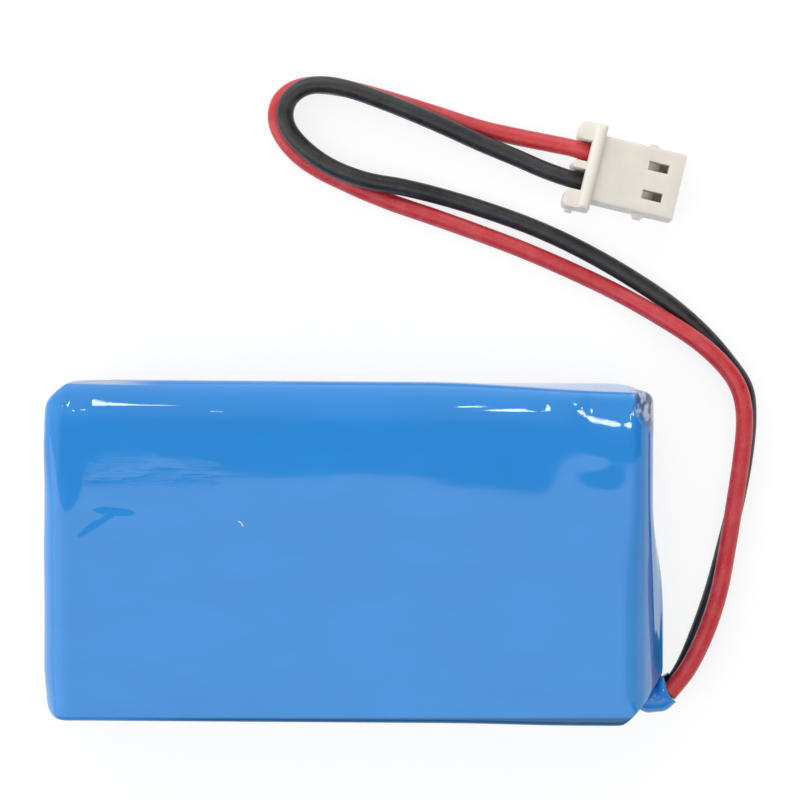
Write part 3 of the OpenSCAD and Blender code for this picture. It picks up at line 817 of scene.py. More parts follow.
@dataclass
class Lead:
    """One soft lead: the part inside the film, and the free part up to the plug."""

    polarity: Polarity
    run: tuple[Point, ...]
    height: float
    finish: PvcFinish
    way: float
    length: float
    plug: PlugFrame
    diameter: float = 1.5 * MM
    board_x: float = 23.95 * MM
    board_ys: tuple[float, ...] = (1.8 * MM, -1.4 * MM, -4.55 * MM, -7.8 * MM)
    turn_steps: int = 5
    plug_entry: tuple[float, float] = (-0.9 * MM, 1.0 * MM)

    def curve(self, name: str, points: Sequence[Point]) -> bpy.types.Curve:
        """A round cord along a smooth line through the points.

        Args:
            name: The curve's name.
            points: Points of its middle line.

        Returns:
            The curve, with one open spline.
        """
        data = bpy.data.curves.new(name, "CURVE")
        data.dimensions = "3D"
        data.resolution_u = data.render_resolution_u = 10
        data.bevel_depth = self.diameter / 2
        data.bevel_resolution = 7
        data.use_fill_caps = True
        spline = data.splines.new("BEZIER")
        spline.bezier_points.add(len(points) - 1)
        line = [Vector(p) for p in points]
        for i, (knot, here) in enumerate(zip(spline.bezier_points, line)):
            before, after = line[max(i - 1, 0)], line[min(i + 1, len(line) - 1)]
            along = (after - before).normalized()
            knot.handle_left_type = knot.handle_right_type = "FREE"
            knot.co = here
            knot.handle_left = here - along * (here - before).length / 3
            knot.handle_right = here + along * (after - here).length / 3
        return data

    def build(self, with_pieces: Sequence[bpy.types.Object]) -> list[bpy.types.Object]:
        """Args:
            with_pieces: The pieces that lie on the free lead. Not used.

        Returns:
            The inner piece and the free piece.
        """
        colour = self.polarity.value
        material = self.finish.material()
        inner = [(self.board_x, y, self.height) for y in self.board_ys]
        turn = [SPOUT_TURN.point(i / self.turn_steps, self.height)
                for i in range(self.turn_steps + 1)]
        inner += turn
        entry = [self.plug.point(x, self.way, self.plug.axis_height) for x in self.plug_entry]
        free = [turn[-1], *self.run, *entry]
        name = f"{colour}_lead_in_film"
        hidden = add_piece(name, self.curve(name, inner), material)
        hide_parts(f"{colour}_inner_lead")
        name = f"{colour}_free_lead"
        shown = add_piece(name, self.curve(name, free), material)
        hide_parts(f"{colour}_lead")
        return [hidden, shown]


# ---------------------------------------------------------------------------
# Shrink film


@dataclass(frozen=True)
class CornerCut:
    """Straight cut in plan that an upright corner of the film is drawn in to.

    Its points and its softness are in millimetres.
    """

    start: tuple[float, float]
    end: tuple[float, float]
    corner: tuple[int, int]
    softness: float

    def draw_in(self, x: float, y: float) -> tuple[float, float]:
        """Moves a point that lies beyond the cut back to it.

        Args:
            x: Place along the pack.
            y: Place across the pack.

        Returns:
            The point's new place.
        """
        along = Vector(self.end) - Vector(self.start)
        out = Vector((along.y, -along.x)).normalized()
        if out.dot(Vector(self.corner)) < 0:
            out = -out
        beyond = (Vector((x, y)) - Vector(self.start)).dot(out)
        over = 0.5 * (beyond + math.hypot(beyond, self.softness))
        if beyond < -4 * self.softness:
            over = 0.0
        return x - out.x * over, y - out.y * over


@dataclass
class ShrinkFilm:
    """The glossy film round the pack, with its two end mouths and the leads' spout.

    A length that isn't given with MM is in millimetres.
    """

    length: float = 50.4 * MM
    width: float = 28.3 * MM
    height: float = 12.0 * MM
    edge_radius: float = 2.0 * MM
    thickness: float = 0.2 * MM
    hem: float = 3.2 * MM
    mouth_radius: float = 1.6 * MM
    mouth_ripple: float = 0.05 * MM
    front_mouth_from: float = 4.4 * MM
    corner_power: float = 3.2
    soft_corner_power: float = 2.1
    cell: float = 0.36 * MM
    wall_cell: float = 1.4 * 0.36 * MM
    plan_rows: int = 14
    foot_rows: int = 5
    top_rows: int = 12
    spout_radius: float = 1.05 * MM
    spout_segments: int = 32
    spout_steps: int = 22
    spout_wave: float = 0.04 * MM
    lip_flare: float = -0.07
    sag: float = 0.12
    gather: float = 0.17
    finish: FilmFinish = FILM
    # Sections of the film at each side, from the flat top out and down to the foot. Each
    # knot is a place on the section, and how far out and how far down it lies there. The
    # places 0 to 90 are on the plain box's upper rounding and 90 to 170 on its wall.
    rear: Section = ((0, 0, 0), (8, 0.42, 0.02), (18, 0.68, 0.055), (30, 0.88, 0.13),
                     (42, 1.02, 0.23), (52, 1.16, 0.38), (60, 1.34, 0.64), (68, 1.52, 0.95),
                     (76, 1.7, 1.32), (84, 1.88, 1.76), (92, 2.01, 2.3), (102, 2.08, 2.95),
                     (125, 2.1, 4.6), (150, 2.05, 8), (170, 2.0, 10))
    rear_north: Section = ((0, 0, 0), (12, 0.5, 0.03), (24, 0.95, 0.12), (36, 1.35, 0.28),
                           (48, 1.66, 0.55), (60, 1.86, 0.85), (72, 2.01, 1.25),
                           (84, 2.11, 1.75), (100, 2.16, 2.8), (125, 2.14, 4.6),
                           (150, 2.05, 8), (170, 2, 10))
    north: Section = ((0, 0, 0), (10, 0.5, 0.095), (20, 1.0, 0.215), (30, 1.4, 0.345),
                      (42, 1.62, 0.46), (55, 1.75, 0.61), (65, 1.84, 0.79), (75, 1.91, 1.0),
                      (85, 1.96, 1.35), (100, 2.0, 2.4), (170, 2.0, 10))
    leaning: Section = ((0, 0, 0), (10, 0.4, 0.05), (20, 0.75, 0.13), (32, 0.98, 0.24),
                        (45, 1.1, 0.37), (60, 1.18, 0.55), (75, 1.24, 0.85), (90, 1.32, 1.5),
                        (120, 1.75, 5.5), (150, 2.0, 8.2), (170, 2.0, 10))
    south: Section = ((0, 0, 0), (12, 0.7, 0.015), (24, 1.2, 0.045), (34, 1.48, 0.08),
                      (44, 1.64, 0.13), (54, 1.75, 0.22), (64, 1.82, 0.35), (74, 1.87, 0.55),
                      (85, 1.92, 0.95), (100, 1.97, 1.8), (120, 2.0, 3.4), (170, 2, 10))
    front: Section = ((0, 0, 0), (8, 0.3, 0.03), (18, 0.5, 0.09), (28, 0.8, 0.28),
                      (38, 1.1, 0.52), (46, 1.24, 0.68), (54, 1.32, 0.8), (66, 1.58, 1.25),
                      (80, 1.86, 1.9), (93, 2.12, 2.8), (103, 2.18, 3.4), (125, 2.1, 4.9),
                      (150, 2.1, 7.5), (170, 2.0, 10))
    tent: Section = ((0, 0, 0), (10, 0.27, 0.11), (20, 0.63, 0.36), (30, 0.99, 0.76),
                     (40, 1.38, 1.3), (52, 1.78, 2.07), (65, 2.22, 3.05), (80, 2.6, 4.24),
                     (105, 3.06, 5.68), (130, 3.48, 7.0), (150, 3.35, 8.6), (170, 2.9, 10))
    tent_share: Knots = ((-12.7, 0), (-11.6, 0.7), (-10.7, 1), (-6, 1), (-4, 0.96),
                         (-2.5, 0.87), (-0.85, 0.7), (0.84, 0.45), (2.35, 0.17), (4, 0))
    tent_blur: float = 0.7
    crown: float = 0.037
    tilt: Knots = ((-25.2, 0.004), (-24.6, 0.0), (-23.7, -0.0027), (-23.1, -0.0135),
                   (-22.7, -0.0125), (-22.1, -0.006), (-21.4, -0.0006), (-17, 0.0004),
                   (-12, 0.0002), (-6, -0.0006), (0, 0.0), (5, -0.0004), (11, -0.0031),
                   (16, -0.0042), (18, 0.004), (20, 0.002), (22, -0.001), (23.4, 0.004))
    tilt_middle: float = 6.2
    tilt_reach: float = 4.5
    ripple: Knots = ((5.2, 0), (6.4, -0.0019), (7.9, 0.0028), (9.4, 0))
    shoulder_onset: Knots = ((14.5, 10.3), (18.9, 9.1), (20.2, 8.1), (23, 7.7))
    shoulder_rate: Knots = ((14.5, 0.045), (19.0, 0.0135))
    south_fall_from: float = -11.2
    front_fall_from: float = 22.7
    rear_draw: float = 0.32
    rear_swell: float = 0.1
    south_swell: float = 0.14
    corner_cuts: tuple[CornerCut, ...] = (
        CornerCut((22.5, -14.24), (23.86, -13.02), (1, -1), 0.12),
        CornerCut((-25.3, -13.35), (-24.1, -14.2), (-1, -1), 0.12),
        CornerCut((-25.3, 12.4), (-23.5, 14.0), (-1, 1), 0.6),
        CornerCut((23.3, 14.15), (25.1, 13.33), (1, 1), 0.22),
    )

    def ruler(self, size: float, low_rows: int, high_rows: int, spacing: float) -> list[float]:
        """Places of the grid lines along one side of the box, from -size/2 to size/2.

        Args:
            size: The side's length.
            low_rows: Rows over the rounding at the low end.
            high_rows: Rows over the rounding at the high end.
            spacing: Distance of the lines in between.

        Returns:
            The places in rising order.
        """
        r = self.edge_radius
        flat = size / 2 - r
        count = max(1, round(2 * flat / spacing))
        low = [-flat - r * math.tan(math.radians(45 * i / low_rows))
               for i in range(low_rows, 0, -1)]
        middle = [-flat + 2 * flat * i / count for i in range(count + 1)]
        high = [flat + r * math.tan(math.radians(45 * i / high_rows))
                for i in range(1, high_rows + 1)]
        return low + middle + high

    def plan_reach(self, out: Vector) -> float:
        """Distance in plan, by which the film's upright corners come out nearly square.

        Args:
            out: The way from the nearest point of the flat top.

        Returns:
            The distance. The rear north corner is rounder than the other three.
        """
        power = self.soft_corner_power if out.x < 0 < out.y else self.corner_power
        return (abs(out.x) ** power + abs(out.y) ** power) ** (1 / power)

    def shell(self) -> bmesh.types.BMesh:
        """A box with soft edges, its faces cut into a fine grid.

        Returns:
            The box, standing on the ground, before the film is pulled into shape.
        """
        rulers = [
            self.ruler(self.length, self.plan_rows, self.plan_rows, self.cell),
            self.ruler(self.width, self.plan_rows, self.plan_rows, self.cell),
            self.ruler(self.height, self.foot_rows, self.top_rows, self.wall_cell),
        ]
        bm = bmesh.new()
        bmesh.ops.create_cube(bm, size=1)
        for axis, places in enumerate(rulers):
            edges = [e for e in bm.edges
                     if abs(e.verts[0].co[axis] - e.verts[1].co[axis]) > 0.5]
            bmesh.ops.subdivide_edges(bm, edges=edges, cuts=len(places) - 2, use_grid_fill=True)
        r = self.edge_radius
        inner = Vector((self.length / 2 - r, self.width / 2 - r, self.height / 2 - r))
        for vert in bm.verts:
            box = Vector(places[round((vert.co[i] + 0.5) * (len(places) - 1))]
                         for i, places in enumerate(rulers))
            core = Vector(max(-inner[i], min(inner[i], box[i])) for i in range(3))
            out = box - core
            reach = math.hypot(self.plan_reach(out), out.z)
            vert.co = core + out * (r / reach) if reach > 0 else box
            vert.co.z += self.height / 2
        return bm

    def top_relief(self, x: float, y: float) -> float:
        """Height of the film over the plain flat top. All values are millimetres.

        Args:
            x: Place along the pack.
            y: Place across the pack.

        Returns:
            The height.
        """
        height = -self.crown * (y / 13) ** 2
        tilt = eased(self.tilt, x) * self.tilt_reach
        height += tilt * math.tanh((y - self.tilt_middle) / self.tilt_reach)
        rippled = smooth(-21.8, -20.2, x) * (1 - smooth(-13.5, -9.5, x))
        height += rippled * eased(self.ripple, y)
        # A dent and a low bump beside it lie near the front end.
        height -= 0.011 * hump(x, 20.3, 1.5) * hump(y, 6.9, 1.05)
        height += 0.007 * hump(x, 21.6, 0.9) * hump(y, 5.2, 1.1)
        return height

    def shoulder_drop(self, x: float, y: float) -> float:
        """How far the film falls towards its north edge. All values are millimetres.

        Args:
            x: Place along the pack.
            y: Place across the pack.

        Returns:
            The drop, zero or more.
        """
        onset = eased(self.shoulder_onset, x)
        return eased(self.shoulder_rate, x) * max(0.0, y - onset) ** 2

    def tented(self, y: float) -> float:
        """Share of the tent beside the leads, at a place across the pack in millimetres."""
        return drawn(self.tent_share, y, self.tent_blur)

    def early_fall(self, x: float, y: float) -> float:
        """How far the flat top has fallen before its edges turn down, in millimetres.

        Args:
            x: Place along the pack.
            y: Place across the pack.

        Returns:
            The fall, zero or more.
        """
        south = 0.02 * max(0.0, self.south_fall_from - y) ** 2
        front = (0.04 + 0.2 * self.tented(y)) * max(0.0, x - self.front_fall_from) ** 2
        return south + front

    def section(self, place: float, out: Vector, x: float, y: float) -> tuple[float, float]:
        """Mixes the sections of the sides that meet at a point.

        Args:
            place: The point's place on its section.
            out: The point's way out from the flat top, in plan.
            x: Place along the pack, in millimetres.
            y: Place across the pack, in millimetres.

        Returns:
            How far out and how far down the film lies, in millimetres.
        """
        lean = smooth(6, 24, x)
        tent = self.tented(y)
        far = smooth(2, 9, y)
        ends = (self.rear, 1 - far, self.rear_north, far) if out.x < 0 else (
            self.front, 1 - tent, self.tent, tent)
        sides = (self.south, 1, self.south, 0) if out.y < 0 else (
            self.north, 1 - lean, self.leaning, lean)
        p = self.corner_power
        total = abs(out.x) ** p + abs(out.y) ** p
        side_share = abs(out.y) ** p / total if total > 0 else 0.0
        reach = drop = 0.0
        for (first, a, second, b), share in ((ends, 1 - side_share), (sides, side_share)):
            if share > 0:
                for knots, part in ((first, a), (second, b)):
                    if part > 0:
                        more_reach, more_drop = flowing(knots, place)
                        reach += share * part * more_reach
                        drop += share * part * more_drop
        return reach, drop

    def pull(self, place: Vector) -> Vector:
        """Pulls one point of the plain box into the shape that the shrunk film has.

        Args:
            place: The point on the plain box.

        Returns:
            Its new place.
        """
        x, y, z = place.x / MM, place.y / MM, place.z / MM
        r, tall = self.edge_radius / MM, self.height / MM
        core_x = self.length / 2 / MM - r
        core_y = self.width / 2 / MM - r
        core = Vector((max(-core_x, min(core_x, x)), max(-core_y, min(core_y, y))))
        out = Vector((x, y)) - core
        flat = self.plan_reach(out)
        if flat > 1e-6:
            way = out / flat
            if z > tall - r:
                spot = math.degrees(math.atan2(flat, z - (tall - r)))
            else:
                spot = 90 + 10 * min(tall - r - z, tall - 2 * r)
            reach, drop = self.section(spot, out, core.x, core.y)
            if z < r:
                reach += flat - r
                drop += r - z
            x, y, z = core.x + way.x * reach, core.y + way.y * reach, tall - drop
        fall = self.top_relief(place.x / MM, core.y) - self.shoulder_drop(core.x, core.y)
        z += smooth(4.0, 12.0, z) * (fall - self.early_fall(core.x, core.y))
        # Each upright corner is drawn in along its own straight cut.
        for corner in self.corner_cuts:
            x, y = corner.draw_in(x, y)
        # The rear end is drawn in near its south corner and swells a little in its middle,
        # and the south side swells near the front.
        drawn_in = self.rear_draw * smooth(-9.2, -14, y) - self.rear_swell * hump(y, 0.5, 4)
        x += smooth(-20, -25, x) * drawn_in
        y -= self.south_swell * smooth(8, 19, x) * smooth(-12, -14, y)
        return Vector((x, y, max(z, 0.0))) * MM

    def open_mouth(self, bm: bmesh.types.BMesh, end: int, low: float, high: float) -> None:
        """Cuts the mouth in one end and trues its edge.

        Args:
            bm: The plain box.
            end: 1 for the front end and -1 for the rear end.
            low: The mouth's lowest Y.
            high: The mouth's highest Y.
        """
        middle = Vector(((low + high) / 2, self.height / 2))
        r = self.mouth_radius
        half = Vector(((high - low) / 2 - r, self.height / 2 - self.hem - r))

        def outside(y: float, z: float) -> tuple[float, Vector]:
            """Finds how far a point of the end lies outside the mouth's outline.

            Args:
                y: Place across the pack.
                z: Height.

            Returns:
                The distance, below zero inside the mouth, and the way out.
            """
            d = Vector((y, z)) - middle
            core = Vector((max(-half.x, min(half.x, d.x)), max(-half.y, min(half.y, d.y))))
            away = d - core
            return away.length - r, away.normalized() if away.length > 0 else Vector((0, 1))

        wall = self.length / 2 - 0.01 * MM
        doomed = []
        for face in bm.faces:
            centre = face.calc_center_median()
            if centre.x * end > wall and outside(centre.y, centre.z)[0] < 0:
                doomed.append(face)
        bmesh.ops.delete(bm, geom=doomed, context="FACES")
        for vert in bm.verts:
            if vert.is_boundary and vert.co.x * end > wall:
                gap, away = outside(vert.co.y, vert.co.z)
                ripple = self.mouth_ripple * math.sin(vert.co.y * 2400 + vert.co.z * 1700)
                shift = away * (gap - ripple)
                vert.co.y -= shift.x
                vert.co.z -= shift.y

    def spout(self) -> bmesh.types.BMesh:
        """The film that follows the two leads round their turn, with its folded lip.

        Returns:
            An open tube.
        """
        bm = bmesh.new()
        bmesh.ops.create_circle(bm, segments=self.spout_segments, radius=self.spout_radius,
                                cap_ends=False)
        turn = SPOUT_TURN
        cx, cy = turn.centre
        for vert in bm.verts:
            up = turn.high if vert.co.y > 0 else turn.low
            vert.co = Vector((cx - turn.radius + vert.co.x, cy, vert.co.y + up))
        bmesh.ops.spin(bm, geom=bm.edges[:], cent=(cx, cy, 0), axis=(0, 0, 1),
                       angle=math.radians(turn.sweep_degrees), steps=self.spout_steps)
        mid = (turn.high + turn.low) / 2
        for vert in bm.verts:
            d = Vector((vert.co.x - cx, vert.co.y - cy))
            angle = math.degrees(math.atan2(d.y, d.x)) % 360
            along = (angle - turn.from_degrees) / turn.sweep_degrees
            if not -0.2 < along < 1.2:
                along = 0.0
            # The film sags between the two leads, hugs them at the lip, and is gathered in
            # the middle of the turn.
            flare = smooth(0.9, 1.0, along) * self.lip_flare
            squeeze = self.sag * smooth(0.15, 0.8, along) * hump(vert.co.z / MM, mid / MM, 0.55)
            radial = d.length - turn.radius
            gather = self.gather * smooth(0.5, 1.0, -radial / self.spout_radius)
            radial *= 1 + flare - squeeze + gather
            wave = self.spout_wave * math.sin(angle * 0.21 + vert.co.z * 2100)
            d = d.normalized() * (turn.radius + radial + wave * smooth(0.1, 0.5, along))
            # On the inner side the lip runs on as a small tongue beside the leads.
            inner = smooth(0.1, 0.95, -radial / self.spout_radius)
            tongue = smooth(0.76, 1.0, along) * inner * MM
            low = smooth(0.1, 0.9, (mid - vert.co.z) / self.spout_radius) * tongue
            vert.co.x = cx + d.x + 0.2 * tongue + 0.7 * low
            vert.co.y = cy + d.y + 0.8 * tongue + 0.1 * low
            vert.co.z = mid + (vert.co.z - mid) * (1 + flare) + 0.25 * tongue
        # The spin hands its parts over in no fixed order, so they are put in one.
        way = Vector((1.0, 7.3, 53.1))
        bm.verts.sort(key=lambda vert: vert.co.dot(way))
        bm.edges.sort(key=lambda edge: (edge.verts[0].co + edge.verts[1].co).dot(way))
        bm.faces.sort(key=lambda face: face.calc_center_median().dot(way))
        return bm

    def build(self) -> bpy.types.Object:
        """Makes the film's piece.

        Returns:
            The piece, which stands for the CAD model's sleeve.
        """
        bm = self.shell()
        half = self.width / 2 - self.hem
        self.open_mouth(bm, -1, -half, half)
        self.open_mouth(bm, 1, self.front_mouth_from, half)
        for vert in bm.verts:
            vert.co = self.pull(vert.co)
        spout = self.spout()
        bmesh.ops.recalc_face_normals(spout, faces=spout.faces[:])
        self.face_outwards(spout)
        spout_mesh = mesh_from(spout, "spout")
        bm.from_mesh(spout_mesh)
        bpy.data.meshes.remove(spout_mesh)
        piece = add_piece("blue_shrink_film", mesh_from(bm, "blue_shrink_film"),
                          self.finish.material())
        wall = piece.modifiers.new("film_wall", "SOLIDIFY")
        wall.thickness = self.thickness
        wall.offset = -1
        wall.use_even_offset = False
        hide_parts("shrink_sleeve")
        return piece

    def face_outwards(self, bm: bmesh.types.BMesh) -> None:
        """Turns the spout's faces so that they point away from the leads.

        Args:
            bm: The spout.
        """
        cx, cy = SPOUT_TURN.centre
        score = 0.0
        bm.normal_update()
        for face in bm.faces:
            centre = face.calc_center_median()
            d = Vector((centre.x - cx, centre.y - cy, 0)).normalized()
            score += face.normal.dot(centre - Vector((cx, cy, centre.z)) - d * SPOUT_TURN.radius)
        if score < 0:
            bmesh.ops.reverse_faces(bm, faces=bm.faces[:])


# ---------------------------------------------------------------------------
# Plug


@dataclass
class CrimpPlug:
    """Two-way plug: a moulded housing with softened edges over its two crimp terminals."""

    place: PlugFrame
    edge_soft: float = 0.07 * MM
    weld: float = 0.002 * MM
    flange_half: float = 3.7 * MM
    flange_corner: float = 0.34 * MM
    flange_height: float = 0.3 * MM
    near: float = 0.02 * MM
    finish: MouldedFinish = IVORY

    def build(self) -> bpy.types.Object:
        """Copies the CAD model's housing and rounds its edges.

        Returns:
            The piece, which stands for the housing.
        """
        bm = bmesh.new()
        bm.from_mesh(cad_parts["connector_housing"].data)
        bmesh.ops.remove_doubles(bm, verts=bm.verts[:], dist=self.weld)
        bmesh.ops.dissolve_limit(bm, angle_limit=math.radians(1), verts=bm.verts[:],
                                 edges=bm.edges[:], delimit=set())
        self.round_flange(bm)
        piece = add_piece("ivory_plug_housing", mesh_from(bm, "ivory_plug_housing"),
                          self.finish.material())
        bevel = piece.modifiers.new("soft_edges", "BEVEL")
        bevel.width = self.edge_soft
        bevel.segments = 3
        bevel.limit_method = "ANGLE"
        bevel.angle_limit = math.radians(35)
        bevel.harden_normals = True
        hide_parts("connector_housing")
        return piece

    def round_flange(self, bm: bmesh.types.BMesh) -> None:
        """Rounds the upright edges at both ends of the flange's front.

        Args:
            bm: The housing.
        """
        ends = [Vector(self.place.point(0, side * self.flange_half, 0)).xy for side in (-1, 1)]
        edges = [
            edge for edge in bm.edges
            if abs(edge.verts[0].co.z - edge.verts[1].co.z) > self.flange_height
            and any(all((vert.co.xy - end).length < self.near for vert in edge.verts)
                    for end in ends)
        ]
        log.info("flange edges rounded: %d", len(edges))
        bmesh.ops.bevel(bm, geom=edges, offset=self.flange_corner, offset_type="OFFSET",
                        segments=5, profile=0.5, affect="EDGES", material=-1,
                        clamp_overlap=True)


# ---------------------------------------------------------------------------
# Parts that keep the CAD model's own shape


@dataclass
class KeptParts:
    """CAD nodes whose shape is right, each with its own finish.

    The upper cell is dressed here too, because its reshaped copy takes over the finish.
    """

    def build(self) -> int:
        """Dresses the nodes.

        Returns:
            How many were dressed.
        """
        finishes: tuple[tuple[Finish, tuple[str, ...]], ...] = (
            (FoilFinish(), ("lower_cell", "upper_cell")),
            (ALUMINIUM, ("lower_positive_tab", "upper_positive_tab")),
            (NICKEL, ("lower_negative_tab", "upper_negative_tab", "series_link")),
            (SEAL, ("tab_seals",)),
            (WHITE_TAPE, ("cell_bond_tape",)),
            (AmberFinish(), ("amber_tapes",)),
            (BoardFinish(), ("protection_board",)),
            (CHIP_BLACK, ("switch_chips", "protection_chip", "chip_resistors")),
            (CHIP_TAN, ("chip_capacitors",)),
            (SOLDER, ("tab_solder", "lead_solder")),
            (StrandFinish(), ("board_strands", "red_strands", "black_strands")),
            (PAPER, ("rear_paper", "front_paper")),
            (TERMINAL, ("red_terminal", "black_terminal")),
        )
        count = 0
        for finish, nodes in finishes:
            material = finish.material()
            for node in nodes:
                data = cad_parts[node].data
                data.materials.clear()
                data.materials.append(material)
                count += 1
        return count


@dataclass
class UpperCell:
    """Upper pouch cell, whose folded side seal dips at its front corner, under the film."""

    dip: float = 1.0 * MM
    weld: float = 0.002 * MM

    def build(self) -> bpy.types.Object:
        """Makes the cell from the CAD model's own, which is dressed already.

        Returns:
            The piece.
        """
        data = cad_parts["upper_cell"].data
        bm = bmesh.new()
        bm.from_mesh(data)
        bmesh.ops.remove_doubles(bm, verts=bm.verts[:], dist=self.weld)
        for vert in bm.verts:
            x, y, z = vert.co / MM
            corner = smooth(12, 15.8, x) * smooth(13.5, 13.8, y) * smooth(10, 10.6, z)
            vert.co.z -= self.dip * corner
        piece = add_piece("upper_pouch_cell", mesh_from(bm, "upper_pouch_cell"),
                          data.materials[0])
        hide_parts("upper_cell")
        return piece


# ---------------------------------------------------------------------------
# Studio


@dataclass(frozen=True)
class Lamp:
    """One flat lamp that faces down.

    The power is worked out so that the lamp looks as bright as radiance says.
    """

    name: str
    place: tuple[float, float]
    size: tuple[float, float]
    turn: float = 0.0
    height: float = 1.0
    radiance: float = 19.0

    def build(self) -> bpy.types.Object:
        """Makes the lamp.

        Returns:
            The lamp's object.
        """
        data = bpy.data.lights.new(self.name, "AREA")
        data.shape = "ELLIPSE"
        data.size, data.size_y = self.size
        data.energy = self.radiance * math.pi ** 2 / 4 * self.size[0] * self.size[1]
        lamp = bpy.data.objects.new(self.name, data)
        lamp.location = (*self.place, self.height)
        lamp.rotation_euler = (0, 0, math.radians(self.turn))
        lamp.visible_camera = False
        bpy.context.scene.collection.objects.link(lamp)
        return lamp


def grey(level: float) -> tuple[float, float, float, float]:
    """An opaque grey for a shader's Color socket."""
    return (level, level, level, 1.0)


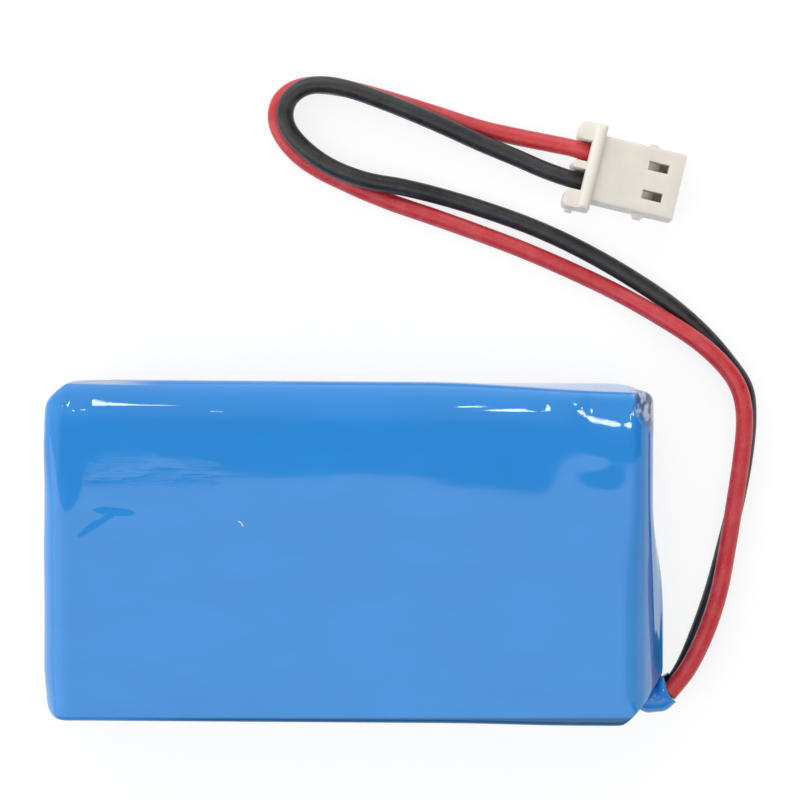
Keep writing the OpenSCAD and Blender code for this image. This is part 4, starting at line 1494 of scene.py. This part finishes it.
@dataclass
class Studio:
    """Camera, floor, world and lamps.

    A band is where the sky goes from one level to the next, by the size of a direction's
    X, Y or Z.
    """

    eye: Point = (0.00421, 0.0126, 0.230)
    roll: float = math.radians(0.4)
    lens: float = 119.34
    sensor: float = 36.0
    floor_size: float = 4.0
    floor_level: float = 0.8
    seen_floor_level: float = 0.22
    seen_floor_glow: float = 0.82
    south_sky: float = 1.55
    low_south_loss: float = 0.9
    low_south_band: tuple[float, float] = (0.42, 0.72)
    west_gain: float = 0.6
    west_band: tuple[float, float] = (0.12, 0.6)
    east_loss: float = 0.7
    east_band: tuple[float, float] = (0.15, 0.5)
    near_north: float = 0.55
    near_north_band: tuple[float, float] = (0.03, 0.25)
    far_north: float = 1.9
    far_north_band: tuple[float, float] = (0.25, 1.0)
    north_east_loss: float = 0.9
    north_west_gain: float = 0.6
    north_west_band: tuple[float, float] = (0.1, 0.5)
    zenith: float = 0.06
    horizon: float = 1.0
    horizon_band: tuple[float, float] = (0.12, 0.22)
    edge_tilt: float = 0.0227
    edge_blur: float = 0.0012

    def camera(self) -> None:
        """Sets the camera straight above the object."""
        data = bpy.data.cameras.new("camera")
        data.lens, data.sensor_width = self.lens, self.sensor
        data.clip_start, data.clip_end = 0.01, 10
        camera = bpy.data.objects.new("camera", data)
        camera.location = self.eye
        camera.rotation_euler = (0, 0, self.roll)
        bpy.context.scene.collection.objects.link(camera)
        bpy.context.scene.camera = camera

    def floor(self) -> bpy.types.Object:
        """Makes the pale floor, which looks white and keeps a faint shadow.

        Returns:
            The floor.
        """
        bm = bmesh.new()
        bmesh.ops.create_grid(bm, x_segments=1, y_segments=1, size=self.floor_size / 2)
        mesh = mesh_from(bm, "floor")
        floor = bpy.data.objects.new("floor", mesh)
        bpy.context.scene.collection.objects.link(floor)
        g = ShaderGraph("floor")
        g.tree.nodes.remove(g.shader)
        path = "ShaderNodeLightPath"
        seen = g.make(path, out="Is Camera Ray")
        seen = seen.maths("MAXIMUM", g.make(path, out="Is Glossy Ray"))
        seen = seen.maths("MAXIMUM", g.make(path, out="Is Transmission Ray"))
        plain = g.make("ShaderNodeBsdfDiffuse", {"Color": grey(self.floor_level)})
        faint = g.make("ShaderNodeBsdfDiffuse", {"Color": grey(self.seen_floor_level)})
        glow = g.make("ShaderNodeEmission", {"Color": grey(1), "Strength": self.seen_floor_glow})
        white = g.make("ShaderNodeAddShader", {0: faint, 1: glow})
        mixed = g.make("ShaderNodeMixShader", {0: seen, 1: plain, 2: white})
        g.tree.links.new(mixed.socket, g.output.inputs["Surface"])
        mesh.materials.append(g.material)
        return floor

    def world(self) -> None:
        """Sets the light all round, as the direction of the sky decides it.

        South of a straight edge that runs overhead the sky is one large soft light, and
        brightest in the west. North of the edge it is dark up to a paler band low down. The
        east is dark. The horizon is white.
        """
        world = bpy.data.worlds.new("studio")
        bpy.context.scene.world = world
        world.use_nodes = True
        g = NodeGraph(world.node_tree)
        split = "ShaderNodeSeparateXYZ"
        way = g.make("ShaderNodeTexCoord", out="Generated")
        x, y, z = (g.make(split, {"Vector": way}, out=axis) for axis in "XYZ")
        south = 1.0 - (z * self.edge_tilt + y).eased(-self.edge_blur, self.edge_blur)
        west, east = (x * -1.0).eased(*self.west_band), x.eased(*self.east_band)
        bright = west * self.west_gain - east * self.east_loss + self.south_sky
        low_south = (y * -1.0).eased(*self.low_south_band)
        bright = bright * (1.0 - low_south * self.low_south_loss)
        near, far = y.eased(*self.near_north_band), y.eased(*self.far_north_band)
        dark = near * self.near_north + far * self.far_north + self.zenith
        dark = dark * (1.0 - east * self.north_east_loss)
        dark = dark + west * (1.0 - y.eased(*self.north_west_band)) * self.north_west_gain
        sky = bright * south + dark * (1.0 - south)
        high = z.eased(*self.horizon_band)
        sky = sky * high + (1.0 - high) * self.horizon
        background = g.make("ShaderNodeBackground", {"Color": grey(1), "Strength": sky})
        output = g.tree.nodes.new("ShaderNodeOutputWorld")
        g.tree.links.new(background.socket, output.inputs["Surface"])

    def lamps(self) -> int:
        """Hangs the small lamps whose gleams show on the film's edges.

        Returns:
            How many lamps there are.
        """
        lamps = (
            Lamp("rear_gleam_wide", (-0.1455, 0.366), (0.014, 0.096), 6),
            Lamp("rear_gleam_middle", (-0.136, 0.345), (0.022, 0.044), 20),
            Lamp("rear_gleam_tail", (-0.124, 0.334), (0.044, 0.013), -6),
            Lamp("corner_gleam", (-0.205, 0.262), (0.030, 0.020), 20),
            Lamp("dot_gleam", (-0.080, 0.241), (0.006, 0.007)),
            Lamp("middle_gleam", (0.040, 0.337), (0.008, 0.022)),
            Lamp("wedge_gleam_wide", (0.062, 0.291), (0.034, 0.032), -8),
            Lamp("wedge_gleam_tail", (0.080, 0.285), (0.044, 0.014), -6),
            Lamp("arc_gleam", (0.178, 0.168), (0.148, 0.030)),
            Lamp("stroke_gleam", (0.212, 0.212), (0.040, 0.024), 25),
        )
        for lamp in lamps:
            lamp.build()
        return len(lamps)

    def build(self) -> None:
        """Sets up the whole studio."""
        scene = bpy.context.scene
        scene.view_settings.view_transform = "Standard"
        self.camera()
        self.floor()
        self.world()
        log.info("studio: %d lamps", self.lamps())


def report(name: str, piece: bpy.types.Object) -> None:
    """Logs one piece's name and how many points or splines it has.

    Args:
        name: What the piece is.
        piece: The piece.
    """
    data = piece.data
    count = len(data.vertices) if isinstance(data, bpy.types.Mesh) else len(data.splines)
    log.info("%s: %s with %d", name, piece.name, count)


def main() -> None:
    """Builds the studio and every piece in order."""
    logging.basicConfig(level=logging.INFO, format="%(message)s")
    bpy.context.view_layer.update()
    Studio().build()
    plug_frame = PlugFrame()
    plug = CrimpPlug(plug_frame).build()
    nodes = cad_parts
    offset = plug_frame.way_offset
    leads = (
        Lead(Polarity.RED, RED_RUN, SPOUT_TURN.high, RED_PVC, offset, 0.1064, plug_frame),
        Lead(Polarity.BLACK, BLACK_RUN, SPOUT_TURN.low, BLACK_PVC, -offset, 0.1059, plug_frame),
    )
    for lead in leads:
        colour = lead.polarity.value
        on_it = [nodes[f"{colour}_strands"], nodes[f"{colour}_terminal"]]
        if lead.polarity is Polarity.RED:
            on_it.append(plug)
        for piece in lead.build(on_it):
            report(f"{colour} lead", piece)
    report("film", ShrinkFilm().build())
    report("plug", plug)
    log.info("kept CAD parts: %d", KeptParts().build())
    report("upper cell", UpperCell().build())


if __name__ == "__main__":
    main()
